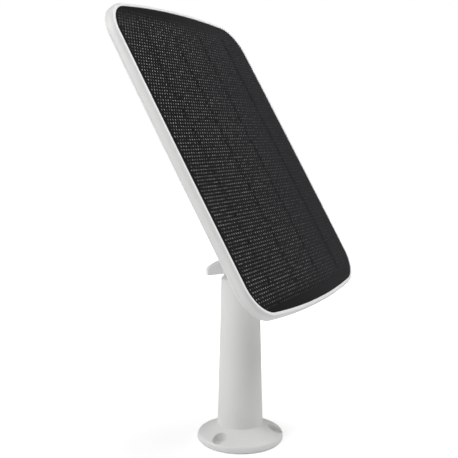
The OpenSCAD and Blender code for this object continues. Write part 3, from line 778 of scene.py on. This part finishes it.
def silicon_material(name):
    """Dark silicon with fine contact fingers across the strips."""
    dark_blue, pale_blue = (0.006, 0.008, 0.018, 1), (0.014, 0.018, 0.036, 1)
    finger_grey, finger_start, cloud_roughness = (0.30, 0.30, 0.31, 1), 0.93, (0.2, 0.35)
    material, tree, shader = start_material(name)
    place = panel_place(tree)
    waves = node(tree, "ShaderNodeTexWave", {"Vector": place, "Scale": 210.0, "Distortion": 0.0},
                 bands_direction="Y").outputs["Fac"]
    fingers = ramp(tree, waves, finger_start, 1.0)
    cloud = noise(tree, place, 300.0, 4.0)
    blue = mix_colour(tree, cloud, dark_blue, pale_blue)
    tree.links.new(mix_colour(tree, fingers, blue, finger_grey), shader.inputs["Base Color"])
    tree.links.new(ramp(tree, cloud, 0.0, 1.0, *cloud_roughness), shader.inputs["Roughness"])
    return material


def board_material(name):
    """Solder-masked board: faint weave and the tracks under the mask."""
    black, white, track_green = (0, 0, 0, 1), (1, 1, 1, 1), (0.02, 0.12, 0.055, 1)
    dark_green, pale_green, weave_roughness = (0.010, 0.070, 0.030, 1), (0.012, 0.082, 0.036, 1), (0.3, 0.36)
    material, tree, shader = start_material(name)
    place = panel_place(tree)
    weave = node(tree, "ShaderNodeTexChecker", {"Vector": place, "Scale": 900.0}).outputs["Fac"]
    tracks = node(tree, "ShaderNodeTexBrick", {"Vector": place, "Scale": 160.0, "Mortar Size": 0.06,
                                               "Color1": black, "Color2": black,
                                               "Mortar": white}).outputs["Color"]
    green = mix_colour(tree, weave, dark_green, pale_green)
    tree.links.new(mix_colour(tree, tracks, green, track_green), shader.inputs["Base Color"])
    tree.links.new(ramp(tree, weave, 0.0, 1.0, *weave_roughness), shader.inputs["Roughness"])
    return material


def floor_material(rgb):
    """Pale matt floor that glows to pure white away from the object, for the camera only."""
    fade_start, fade_end, least_glow = 0.03, 0.3, 0.38
    material = moulded("Floor paint", rgb, roughness=0.9, grain=40.0, drift=0.004, dust=0.0, bump=0.0)
    tree = material.node_tree
    shader = tree.nodes["Principled BSDF"]
    reach = node(tree, "ShaderNodeVectorMath", {0: object_place(tree)}, operation="LENGTH").outputs["Value"]
    glow = ramp(tree, reach, fade_start, fade_end, least_glow, 1.0, smooth=True)
    ray = node(tree, "ShaderNodeLightPath").outputs["Is Camera Ray"]
    tree.links.new(math_node(tree, "MULTIPLY", glow, ray), shader.inputs["Emission Color"])
    shader.inputs["Emission Strength"].default_value = 1.0
    return material


# Pieces of the panel

def tub_body(bm, sizes):
    """The tub itself: lip, rounded side with its fine seam, back, ledge and floor."""
    back_roll, seam = 1.2 * MM, 0.16 * MM
    lip_edge = [(0, 0.15 * MM), (0.05 * MM, 0.04 * MM), (0.16 * MM, 0)]
    edge, rim, roll = sizes.thickness, sizes.rim_width, sizes.rim_width - sizes.lip_width
    ledge = rim + sizes.ledge_width
    front_curve = [(roll * (1 - math.sin(a)), sizes.roll_depth * (1 - math.cos(a)))
                   for a in (QUARTER * k / 8 for k in range(9))]
    back_curve = [(back_roll * (1 - math.cos(a)), edge - back_roll + back_roll * math.sin(a))
                  for a in (QUARTER * k / 6 for k in range(1, 7))]
    profile = ([(ledge, edge - sizes.wall), (ledge, sizes.ledge_depth), (rim, sizes.ledge_depth)]
               + [(rim - inset, depth) for inset, depth in lip_edge]
               + front_curve
               + [(0, sizes.seam_depth - seam), (seam, sizes.seam_depth), (0, sizes.seam_depth + seam)]
               + back_curve)
    stack(bm, lambda inset: tub_outline(sizes, inset), [(inset, -depth) for inset, depth in profile])


def boss(bm, sizes, low, high):
    """The boss from its free end at low to the wall at high, with a curved flare at the wall."""
    flare, edge = 1.6 * MM, 0.5 * MM
    side = rounded([(0, low), (sizes.boss_radius, low, edge), (sizes.boss_foot, high, flare),
                    (sizes.boss_foot + 3 * flare, high)], closed=False, steps=6)
    lathe(bm, side + [Vector((side[-1].x, high + SINK)), Vector((0, high + SINK))], closed=False)


def box_walls(bm, sizes, back):
    """The connection box's walls, flared where they meet the tub's back."""
    wall, flare, edge = sizes.box_wall, 1.5 * MM, 0.3 * MM
    profile = ([(p.x, p.y) for p in arc((-flare, back - flare), flare, QUARTER, 0, 5)]
               + [(0, GASKET_FRONT + edge), (edge, GASKET_FRONT), (wall - edge, GASKET_FRONT),
                  (wall, GASKET_FRONT + edge), (wall, back + SINK), (-flare, back + SINK)])
    stack(bm, lambda inset: box_outline(sizes.box_corner, inset), profile, ends=False)


def rib(bm, x, end, back):
    """A stiffening rib from the boss to the connection box."""
    width, thickness, middle, softness = 2 * MM, 4.6 * MM, 1.7 * MM, 0.5 * MM
    block(bm, (width, end, thickness), (x, end / 2, back - middle))
    round_edges(bm, softness, lambda e: all(v.co.z < back for v in e.verts))


class SOLAR_OT_tub(Operator):
    """Build the white tub with its boss, ribs and connection box"""
    bl_idname = "solar.tub"
    bl_label = "Panel Tub"

    def execute(self, context):
        rib_aside, screw_post_radius, standoff_radius, board_depth = 8 * MM, 3.4 * MM, 2 * MM, 8 * MM
        insert_radius, insert_floor, gland_hole_depth = 4.4 * MM, 1.5 * MM, 4 * MM
        lead_slot, lead_slot_place = (14 * MM, 5 * MM, 4 * MM), 21.5 * MM
        sizes = settings().panel
        back = FACE_HEIGHT - sizes.thickness
        tub = shape(tub_body, sizes, place=Matrix.Translation((0, SHELL_MIDDLE, FACE_HEIGHT)))
        additions = [shape(boss, sizes, INSERT_START, back),
                     shape(box_walls, sizes, back, place=Matrix.Translation(BOX_CENTRE))]
        additions += [shape(rib, x, BOX_LOW + sizes.box_wall / 2, back) for x in (-rib_aside, rib_aside)]
        for post, standoff in zip(box_corners(COVER_SCREW_PLACE), box_corners(STANDOFF_PLACE)):
            additions.append(shape(cylinder, screw_post_radius, GASKET_FRONT, back + SINK, place=post))
            additions.append(shape(cylinder, standoff_radius, FACE_HEIGHT - board_depth, back + SINK,
                                   place=standoff))
        cuts = [shape(cylinder, insert_radius, INSERT_START - CLEAR,
                      FACE_HEIGHT - sizes.ledge_depth - insert_floor),
                shape(cylinder, NECK_CLEARANCE_RADIUS, -gland_hole_depth, 2 * CLEAR, place=gland_frame()),
                shape(block, lead_slot, BOX_CENTRE + Vector((0, lead_slot_place, back)))]
        finish_piece(combine(tub, additions, cuts), "panel_tub", "panel", tub_material(),
                     ["panel_shell"], PANEL_FRAME)
        return {"FINISHED"}


DOT_SIDES = 6


def raised_dot(film):
    """One raised dot, as a shallow cap with a foot sunk in the film."""
    bm = bmesh.new()
    rings = []
    for reach, rise in ((1.0, -0.25), (0.80, 0.45), (0.42, 0.85)):
        oval = Matrix.Diagonal((film.dot_width / 2, film.dot_length / 2, 1, 1))
        made = bmesh.ops.create_circle(bm, segments=DOT_SIDES, radius=reach,
                                       matrix=Matrix.Translation((0, 0, film.dot_height * rise)) @ oval)
        rings.append(list({e for v in made["verts"] for e in v.link_edges}))
    for lower, upper in zip(rings, rings[1:]):
        bmesh.ops.bridge_loops(bm, edges=lower + upper)
    bmesh.ops.contextual_create(bm, geom=rings[0])
    top = bmesh.ops.contextual_create(bm, geom=rings[-1])["faces"]
    bmesh.ops.poke(bm, faces=top, offset=film.dot_height * 0.15)
    bmesh.ops.recalc_face_normals(bm, faces=bm.faces)
    return bm


def dot_field(film):
    """The raised dots in staggered rows, centred on the origin."""
    columns = int(film.field_width / film.pitch)
    rows = int(film.field_length / film.row_pitch)
    seed = as_object(raised_dot(film), "dot")
    for count, step in ((columns, (film.pitch, 0, 0)), (2, (film.pitch / 2, film.row_pitch, 0)),
                        ((rows + 1) // 2, (0, 2 * film.row_pitch, 0))):
        repeat = seed.modifiers.new("Rows", "ARRAY")
        repeat.count, repeat.use_relative_offset, repeat.use_constant_offset = count, False, True
        repeat.constant_offset_displace = step
    dots = applied(seed)
    discard([seed])
    bmesh.ops.translate(dots, verts=dots.verts,
                        vec=(-film.pitch * (columns - 0.5) / 2, -film.row_pitch * (rows - 1) / 2, 0))
    return dots


def inside(point, outline):
    """Whether a point lies inside an outline."""
    crossings = 0
    for a, b in zip(outline, outline[1:] + outline[:1]):
        if (a.y > point.y) != (b.y > point.y):
            crossings += point.x < a.x + (point.y - a.y) * (b.x - a.x) / (b.y - a.y)
    return crossings % 2 == 1


def trim_dots(dots, film, outline):
    """Leaves out the dots whose peaks lie outside the field or outside an outline."""
    peaks = [v for v in dots.verts
             if len(v.link_faces) == DOT_SIDES and all(len(f.verts) == 3 for f in v.link_faces)]
    reached = [v for v in peaks if abs(v.co.x) > film.field_width / 2
               or abs(v.co.y) > film.field_length / 2 or not inside(v.co, outline)]
    doomed = set(reached)
    while reached:
        beyond = {edge.other_vert(v) for v in reached for edge in v.link_edges} - doomed
        doomed |= beyond
        reached = beyond
    bmesh.ops.delete(dots, geom=list(doomed), context="VERTS")


class SOLAR_OT_film(Operator):
    """Build the textured film with its raised dots"""
    bl_idname = "solar.film"
    bl_label = "Textured Film"

    def execute(self, context):
        side_gap, edge, dot_margin = 0.06 * MM, 0.05 * MM, 1.2 * MM
        film, panel = settings().film, settings().panel
        plate = shape(stack, lambda inset: tub_outline(panel, panel.rim_width + side_gap + inset),
                      [(0, -film.depth - film.thickness), (0, -film.depth - edge), (edge, -film.depth)])
        dots = dot_field(film)
        trim_dots(dots, film, tub_outline(panel, panel.rim_width + dot_margin))
        bmesh.ops.translate(dots, verts=dots.verts, vec=(0, 0, -film.depth))
        absorb(plate, dots)
        bmesh.ops.translate(plate, verts=plate.verts, vec=(0, SHELL_MIDDLE, FACE_HEIGHT))
        finish_piece(plate, "film_face", "panel", finish("black_film"), ["front_film"],
                     PANEL_FRAME, sharp=60.0)
        return {"FINISHED"}


def screw_blank(bm):
    """A flat-headed screw without its recess, head at zero and shank along +Z."""
    face, shank_end = 0.1 * MM, 7.0 * MM
    outline = [(0, face), (SCREW_HEAD_RADIUS, face, 0.5 * MM), (SCREW_HEAD_RADIUS, SCREW_HEAD_HEIGHT),
               (SCREW_SHANK_RADIUS, SCREW_HEAD_HEIGHT), (SCREW_SHANK_RADIUS, shank_end),
               (0, shank_end + 0.2 * MM)]
    lathe(bm, rounded(outline, closed=False), steps=32, closed=False)


def cover_screw(place):
    """A cover screw with a cross recess in its head, in its place."""
    arm, width, depth = 2.2 * MM, 0.5 * MM, 1.4 * MM
    cross = combine(shape(block, (arm, width, depth)), [shape(block, (width, arm, depth))])
    tidy(cross)
    bmesh.ops.transform(cross, matrix=place, verts=cross.verts)
    return combine(shape(screw_blank, place=place), (), [cross])


class SOLAR_OT_cover(Operator):
    """Build the connection box's cover and its sunk screws"""
    bl_idname = "solar.cover"
    bl_label = "Box Cover"

    def execute(self, context):
        roll, step_inset, step_width, step_depth = 0.7 * MM, 4.6 * MM, 0.4 * MM, 0.3 * MM
        seat_gap, shank_hole = 0.08 * MM, 3 * MM
        corner = settings().panel.box_corner
        rim = [(roll * (1 - math.cos(a)), COVER_BACK + roll * (1 - math.sin(a)))
               for a in (QUARTER * (1 - k / 5) for k in range(6))]
        sunk_field = [(step_inset + step_width, COVER_BACK + step_depth), (step_inset, COVER_BACK)]
        plate = shape(stack, lambda inset: box_outline(corner, inset), sunk_field + rim + [(0, COVER_FRONT)],
                      place=Matrix.Translation(BOX_CENTRE))
        seats, screws = [], bmesh.new()
        for place in box_corners(COVER_SCREW_PLACE, COVER_BACK):
            for radius, depth in ((SCREW_HEAD_RADIUS, SCREW_HEAD_HEIGHT), (SCREW_SHANK_RADIUS, shank_hole)):
                seats.append(shape(cylinder, radius + seat_gap, -CLEAR, depth, place=place))
            absorb(screws, cover_screw(place))
        finish_piece(combine(plate, (), seats), "rear_cover", "panel",
                     finish("white_plastic"), ["box_cover"], PANEL_FRAME)
        finish_piece(screws, "rear_cover_screws", "panel", finish("steel"), ["cover_screws"],
                     PANEL_FRAME)
        return {"FINISHED"}


def gland_frame():
    """The cable gland's frame: origin on the box's lower wall, Z out along its axis."""
    mount = next(m for m in frame["record"]["mounts"] if m["name"] == "cable_entry")
    point = PANEL_FRAME.inverted() @ Vector(mount["pos_m"])
    return Matrix.Translation((point.x, BOX_LOW, point.z)) @ Matrix.Rotation(QUARTER, 4, "X")


def hexagon_flange(bm, radius, height):
    """A six-sided flange with softened edges."""
    cylinder(bm, radius, 0, height, segments=6)
    round_edges(bm, 0.2 * MM)


class SOLAR_OT_gland(Operator):
    """Build the cable gland's body, seal and cap"""
    bl_idname = "solar.gland"
    bl_label = "Cable Gland"

    def execute(self, context):
        cap_radius, neck_start, neck_end = 3.7 * MM, -5.6 * MM, 5 * MM
        flange_height, flange_hole = 1.4 * MM, 2.5 * MM
        cap_start, cap_shoulder, cap_end, cap_mouth = 1.75 * MM, 7.4 * MM, 8.9 * MM, 2.7 * MM
        flutes, flute_radius, flute_aside, flute_end = 12, 0.45 * MM, 0.15 * MM, 6.8 * MM
        seal_start, seal_end, seal_gap = neck_end + 0.05 * MM, 8 * MM, 0.1 * MM
        place = PANEL_FRAME @ gland_frame()
        flange = combine(shape(hexagon_flange, cap_radius, flange_height), (),
                         [shape(cylinder, flange_hole, -CLEAR, 3 * MM)])
        neck = shape(lathe, [(CABLE_RADIUS, neck_start), (NECK_RADIUS, neck_start), (NECK_RADIUS, neck_end),
                             (CABLE_RADIUS, neck_end)], steps=48)
        finish_piece(combine(neck, [flange]), "gland_nipple", "panel",
                     finish("dark_plastic"), ["gland_body"], place)
        dome = [(NECK_CLEARANCE_RADIUS, cap_start), (cap_radius, cap_start, 0.2 * MM),
                (cap_radius, cap_shoulder, 1.6 * MM), (cap_mouth, cap_end, 0.3 * MM),
                (CABLE_RADIUS, cap_end, 0.2 * MM), (CABLE_RADIUS, seal_end + seal_gap),
                (NECK_CLEARANCE_RADIUS, seal_end + seal_gap)]
        cuts = [shape(cylinder, flute_radius, CLEAR, flute_end, segments=10, place=flute)
                for flute in around(flutes, cap_radius + flute_aside)]
        finish_piece(combine(shape(lathe, rounded(dome), steps=60), (), cuts), "gland_dome", "panel",
                     finish("dark_plastic"), ["gland_cap"], place)
        seal = [(CABLE_RADIUS, seal_start, 0.2 * MM), (NECK_RADIUS, seal_start, 0.3 * MM),
                (NECK_RADIUS, seal_end, 0.5 * MM), (CABLE_RADIUS, seal_end, 0.3 * MM)]
        finish_piece(shape(lathe, rounded(seal), steps=48), "gland_ring", "panel",
                     finish("seal_rubber"), ["gland_seal"], place)
        return {"FINISHED"}


# Pieces of the joint

class SOLAR_OT_stud(Operator):
    """Build the ball, waist and threaded stud"""
    bl_idname = "solar.stud"
    bl_label = "Ball Stud"

    def execute(self, context):
        joint = settings().joint
        neck_angle, neck_rise, neck_flare, neck_curve = 0.08, 0.9 * MM, 0.25 * MM, 0.5 * MM
        end_allowance, end_taper = 0.4 * MM, 0.3 * MM
        waist_end, thread_lead_in, thread_start = 15 * MM, 16.1 * MM, 16.4 * MM
        crest_end, root_start, root_end, depth = 0.16, 0.5, 0.66, 0.372  # shares of the thread's pitch
        waist, pitch = joint.waist_radius, joint.thread_pitch
        crest, root = joint.stud_radius, joint.stud_radius - depth * pitch
        ball_end = QUARTER - math.asin(waist / joint.ball_radius) - neck_angle
        profile = arc((0, 0), joint.ball_radius, -QUARTER, ball_end, 40)
        neck_start = profile[-1].y + neck_rise
        profile += [(waist + neck_flare, neck_start), (waist, neck_start + neck_curve), (waist, waist_end),
                    (crest - 0.15 * MM, thread_lead_in)]
        height = thread_start
        while height + pitch < SHANK_END - end_allowance:
            profile += [(crest, height), (crest, height + crest_end * pitch),
                        (root, height + root_start * pitch), (root, height + root_end * pitch)]
            height += pitch
        profile += [(crest - 0.1 * MM, height), (root - end_taper, SHANK_END), (0, SHANK_END)]
        finish_piece(shape(lathe, profile, closed=False), "ball_and_stud", "stud", finish("steel"),
                     ["ball_stud"], PANEL_FRAME, sharp=28.0)
        return {"FINISHED"}


class SOLAR_OT_nut(Operator):
    """Build the grooved lock nut"""
    bl_idname = "solar.nut"
    bl_label = "Lock Nut"

    def execute(self, context):
        bore_edge, outer_edge, groove_radius, groove_aside = 0.3 * MM, 0.6 * MM, 0.7 * MM, 0.1 * MM
        ring_inner, ring_outer, ring_depth = 5.0 * MM, 7.6 * MM, 0.35 * MM
        joint = settings().joint
        bore, outer = joint.stud_radius + joint.gap, joint.nut_radius
        blank = shape(lathe, rounded([(bore, NUT_START, bore_edge), (outer, NUT_START, outer_edge),
                                      (outer, NUT_END, outer_edge), (bore, NUT_END, bore_edge)]), steps=144)
        cuts = [shape(cylinder, groove_radius, NUT_START - CLEAR, NUT_END + CLEAR, segments=16, place=groove)
                for groove in around(joint.nut_grooves, outer + groove_aside)]
        ring = [(ring_inner, NUT_START - CLEAR), (ring_outer, NUT_START - CLEAR),
                (ring_outer, NUT_START + ring_depth), (ring_inner, NUT_START + ring_depth)]
        cuts.append(shape(lathe, ring))
        finish_piece(combine(blank, (), cuts), "lock_nut", "jam",
                     finish("soft_white_plastic"), ["jam_nut"], PANEL_FRAME)
        return {"FINISHED"}


def wing_plate(bm, joint):
    """One wing standing on the collar's foot along +X, its upper edge convex and its edges rounded."""
    root, straight, steps, softness = 12 * MM, 0.6, 14, 0.35 * MM
    reach, drop = joint.wing_reach, joint.wing_root - joint.wing_tip
    crown = [(reach - (reach - root) * t,
              joint.wing_tip + drop * (straight * t + (1 - straight) * math.sqrt(1 - (1 - t) ** 2)))
             for t in (k / steps for k in range(steps + 1))]
    outline = [(root, 0), (reach, 0)] + crown
    side = bm.faces.new([bm.verts.new((x, -joint.wing_thickness / 2, z)) for x, z in outline])
    pulled = bmesh.ops.extrude_face_region(bm, geom=[side])["geom"]
    bmesh.ops.translate(bm, verts=[g for g in pulled if isinstance(g, bmesh.types.BMVert)],
                        vec=(0, joint.wing_thickness, 0))
    bmesh.ops.recalc_face_normals(bm, faces=bm.faces)
    round_edges(bm, softness, lambda e: any(v.co.x > root + 0.1 * MM for v in e.verts), angle=30)


class SOLAR_OT_collar(Operator):
    """Build the winged collar"""
    bl_idname = "solar.collar"
    bl_label = "Winged Collar"

    def execute(self, context):
        mouth, mouth_top, mouth_foot, ring_groove, ring_foot = (
            10.1 * MM, 1.7 * MM, 0.7 * MM, 11.3 * MM, -2.2 * MM)
        joint = settings().joint
        inner, outer, foot = joint.socket_radius + joint.gap, joint.collar_radius, -joint.collar_foot
        hub = rounded([(inner, foot, 0.2 * MM), (outer, foot, 0.6 * MM), (outer, joint.collar_rim, 0.9 * MM),
                       (mouth, mouth_top, 0.3 * MM), (mouth, mouth_foot), (ring_groove, mouth_foot),
                       (ring_groove, ring_foot), (inner, ring_foot)])
        wings = [shape(wing_plate, joint, place=turned @ Matrix.Translation((0, 0, foot)))
                 for turned in around(2, 0.0, joint.wing_turn)]
        finish_piece(combine(shape(lathe, hub, steps=128), wings), "winged_collar", "collar",
                     finish("white_plastic"), ["wing_collar"], JOINT_FRAME)
        return {"FINISHED"}


class SOLAR_OT_socket(Operator):
    """Build the slotted socket"""
    bl_idname = "solar.socket"
    bl_label = "Slotted Socket"

    def execute(self, context):
        neck, thread_foot, finger_start, mouth, mouth_top = 9 * MM, -7 * MM, -2 * MM, 9.6 * MM, 1.9 * MM
        well, well_foot, bowl_radius = 6.38 * MM, -12 * MM, 9.08 * MM
        screw_hole, screw_hole_end = 2 * MM, 6.4 * MM
        slot, slot_middle, slots = (60 * MM, 1.2 * MM, 12 * MM), 1.5 * MM, 3
        joint, post = settings().joint, settings().post
        top = post.shoulder + post.bevel - PIVOT.z
        foot = top - SPIGOT_LENGTH
        body = joint.socket_radius
        outer = rounded([(0, foot), (SPIGOT_RADIUS, foot, 0.4 * MM), (SPIGOT_RADIUS, top), (neck, top),
                         (neck, thread_foot), (body, thread_foot, 0.2 * MM), (body, finger_start),
                         (mouth, mouth_top, 0.25 * MM), (0, mouth_top)], closed=False)
        bowl = arc((0, 0), joint.ball_radius + joint.gap, QUARTER, -math.acos(well / bowl_radius), 24)
        cuts = [shape(lathe, bowl + [(well, well_foot), (0, well_foot)], closed=False),
                shape(cylinder, screw_hole, foot - CLEAR, foot + screw_hole_end)]
        cuts += [shape(block, slot, (0, 0, slot_middle), place=Matrix.Rotation(math.pi * k / slots, 4, "Z"))
                 for k in range(slots)]
        finish_piece(combine(shape(lathe, outer, closed=False), (), cuts), "slotted_socket", "mount",
                     finish("soft_white_plastic"), ["socket_collet"], JOINT_FRAME)
        return {"FINISHED"}


# The post

class SOLAR_OT_post(Operator):
    """Build the base disc and the tapered post as one moulding"""
    bl_idname = "solar.post"
    bl_label = "Base and Post"

    def execute(self, context):
        web, screw_hole = 4 * MM, 2.3 * MM
        hollow_top, hollow_foot, hollow_height, hollow_mouth = 8.8 * MM, 11.6 * MM, 7 * MM, 15 * MM
        disc_foot, countersink_start, seat_open = 1.1 * MM, 1.4 * MM, 20 * MM
        rib_size, rib_sunk, rib_aside = (1.2 * MM, 0.35 * MM), 0.64 * MM, 0.9 * MM
        post = settings().post
        edge_centre = Vector((post.base_radius - post.edge_radius, post.edge_height))
        slope_start = QUARTER - post.slope
        disc_edge = arc(edge_centre, post.edge_radius, 0, slope_start, 10)
        start = edge_centre + post.edge_radius * Vector((math.cos(slope_start), math.sin(slope_start)))
        foot = start.y + (start.x - post.foot_radius) * math.tan(post.slope)
        top = post.shoulder + post.bevel
        web_top = top - SPIGOT_LENGTH
        outline = ([(hollow_mouth, 0, 0.3 * MM), (post.base_radius - disc_foot, 0),
                    (post.base_radius, disc_foot, 0.8 * MM)]
                   + [tuple(p) for p in disc_edge]
                   + [(post.foot_radius, foot, post.foot_fillet), (post.top_radius, post.shoulder, 0.35 * MM),
                      (post.top_radius - post.bevel, top, 0.25 * MM), (SPIGOT_RADIUS, top),
                      (SPIGOT_RADIUS, web_top), (screw_hole, web_top), (screw_hole, web_top - web),
                      (hollow_top, web_top - web, 1 * MM), (hollow_foot, hollow_height, 2 * MM)])
        body = shape(lathe, rounded(outline, steps=6), steps=144)
        seat = [(0, -CLEAR), (post.screw_hole, -CLEAR), (post.screw_hole, countersink_start),
                (post.screw_seat, post.seat_floor), (post.screw_seat, seat_open), (0, seat_open)]
        seats = [shape(lathe, seat, steps=48, closed=False, place=place)
                 for place in around(post.screws, post.screw_circle, post.screw_turn)]
        ribs = [shape(block, (*rib_size, post.rib_height),
                      (post.foot_radius - rib_sunk, aside, foot + post.rib_height / 2),
                      place=Matrix.Rotation(post.rib_turn, 4, "Z")) for aside in (-rib_aside, rib_aside)]
        finish_piece(combine(body, ribs, seats), "post_and_base", "mount",
                     finish("white_plastic"), ["base_post"])
        return {"FINISHED"}


class SOLAR_OT_inner_finishes(Operator):
    """Give every frame part that stays its finish"""
    bl_idname = "solar.inner_finishes"
    bl_label = "Inner Finishes"

    def execute(self, context):
        slots = {row["node"]: row["material_slot"] for row in frame["record"]["subparts"]}
        for name, part in frame["nodes"].items():
            if part.hide_render:
                continue
            material = finish(slots[name])
            if not part.material_slots:
                part.data.materials.append(material)
            for holder in part.material_slots:
                holder.material = material
        return {"FINISHED"}


# Stage

def lay_floor(stage):
    """A wide pale floor."""
    bm = bmesh.new()
    bmesh.ops.create_grid(bm, x_segments=1, y_segments=1, size=6.0)
    floor = as_object(bm, "floor")
    floor.data.materials.append(floor_material(stage.floor_white))


def light_sky(stage):
    """Even light from all round, which the camera sees as plain white."""
    white = (1, 1, 1, 1)
    world = bpy.data.worlds.new("Studio")
    bpy.context.scene.world = world
    world.use_nodes = True
    tree = world.node_tree
    sky = tree.nodes["Background"]
    sky.inputs["Color"].default_value = white
    sky.inputs["Strength"].default_value = stage.sky
    seen = node(tree, "ShaderNodeBackground", {"Color": white, "Strength": 1.0})
    ray = node(tree, "ShaderNodeLightPath").outputs["Is Camera Ray"]
    choose = node(tree, "ShaderNodeMixShader", {0: ray, 1: sky.outputs[0], 2: seen.outputs[0]})
    tree.links.new(choose.outputs[0], tree.nodes["World Output"].inputs["Surface"])


def aimed(name, data, place, target):
    """A new camera or lamp at a place, pointed at a target."""
    made = bpy.data.objects.new(name, data)
    bpy.context.scene.collection.objects.link(made)
    made.location = place
    made.rotation_mode = "QUATERNION"
    made.rotation_quaternion = (target - place).to_track_quat("-Z", "Y")
    return made


def set_camera(stage, back, left):
    """The camera, which lies back from the point that it aims at."""
    data = bpy.data.cameras.new("camera")
    data.lens, data.sensor_width, data.clip_start = stage.lens, 36.0, 0.01
    aim = Vector((0, 0, stage.aim_height)) + left * stage.aim_aside
    bpy.context.scene.camera = aimed("camera", data, aim + back * stage.distance, aim)


def hang_lamps(stage, back, left):
    """Five square soft lamps, each a metre from the middle of the object.
    A row gives a lamp's name, its shares to the left and to the camera, its rise in degrees and its power."""
    toward = Vector((back.x, back.y, 0)).normalized()
    middle = Vector((0, 0, stage.lamp_height))
    lamps = (("key_lamp", 1, 0.35, 30, stage.key), ("front_lamp", 0.2, 1, 45, stage.front),
             ("rear_left_lamp", 1, -0.6, 15, stage.rear_left),
             ("low_right_lamp", -1, -0.25, 8, stage.right_low),
             ("high_right_lamp", -1, 0, 60, stage.right_high))
    for name, leftward, forward, degrees_up, watts in lamps:
        level, rise = (left * leftward + toward * forward).normalized(), math.radians(degrees_up)
        light = bpy.data.lights.new(name, "AREA")
        light.shape, light.size, light.energy = "SQUARE", stage.lamp_size, watts
        aimed(name, light, middle + level * math.cos(rise) + Vector((0, 0, math.sin(rise))), middle)


class SOLAR_OT_stage(Operator):
    """Set up the floor, the soft lamps and the camera"""
    bl_idname = "solar.stage"
    bl_label = "Studio"

    def execute(self, context):
        stage = settings().stage
        context.scene.view_settings.view_transform = "Standard"
        back = Vector((math.sin(stage.azimuth) * math.cos(stage.drop),
                       -math.cos(stage.azimuth) * math.cos(stage.drop), math.sin(stage.drop)))
        left = Vector((-math.cos(stage.azimuth), -math.sin(stage.azimuth), 0))
        lay_floor(stage)
        light_sky(stage)
        set_camera(stage, back, left)
        hang_lamps(stage, back, left)
        return {"FINISHED"}


class SolarPanelPost(PropertyGroup):
    """All settings of the model"""
    panel: PointerProperty(type=PanelSizes)
    film: PointerProperty(type=FilmSizes)
    post: PointerProperty(type=PostSizes)
    joint: PointerProperty(type=JointSizes)
    finishes: PointerProperty(type=Finishes)
    stage: PointerProperty(type=StageSettings)


BUILDERS = (SOLAR_OT_tub, SOLAR_OT_film, SOLAR_OT_cover, SOLAR_OT_gland, SOLAR_OT_stud, SOLAR_OT_nut,
            SOLAR_OT_collar, SOLAR_OT_socket, SOLAR_OT_post, SOLAR_OT_inner_finishes, SOLAR_OT_stage)


class SOLAR_PT_sidebar(Panel):
    """Lists the pieces and the settings in the sidebar"""
    bl_idname = "SOLAR_PT_sidebar"
    bl_label = "Solar Panel on a Post"
    bl_space_type = "VIEW_3D"
    bl_region_type = "UI"
    bl_category = "Solar Panel"

    def draw(self, context):
        for builder in BUILDERS:
            self.layout.operator(builder.bl_idname)
        chosen = context.scene.solar_panel_post
        for label in SolarPanelPost.__annotations__:
            box = self.layout.box()
            box.label(text=label.title())
            group = getattr(chosen, label)
            for key in group.__annotations__:
                box.prop(group, key)


CLASSES = (PanelSizes, FilmSizes, PostSizes, JointSizes, Finishes, StageSettings, SolarPanelPost,
           *BUILDERS, SOLAR_PT_sidebar)


def register():
    """Makes the settings, operators and sidebar known to Blender."""
    for entry in CLASSES:
        bpy.utils.register_class(entry)
    bpy.types.Scene.solar_panel_post = PointerProperty(type=SolarPanelPost)


def unregister():
    """Takes them out again."""
    del bpy.types.Scene.solar_panel_post
    for entry in reversed(CLASSES):
        bpy.utils.unregister_class(entry)


def main():
    """Builds every piece and the stage."""
    register()
    bpy.ops.solar.tub()
    bpy.ops.solar.film()
    bpy.ops.solar.cover()
    bpy.ops.solar.gland()
    bpy.ops.solar.stud()
    bpy.ops.solar.nut()
    bpy.ops.solar.collar()
    bpy.ops.solar.socket()
    bpy.ops.solar.post()
    bpy.ops.solar.inner_finishes()
    bpy.ops.solar.stage()


if __name__ == "__main__":
    main()
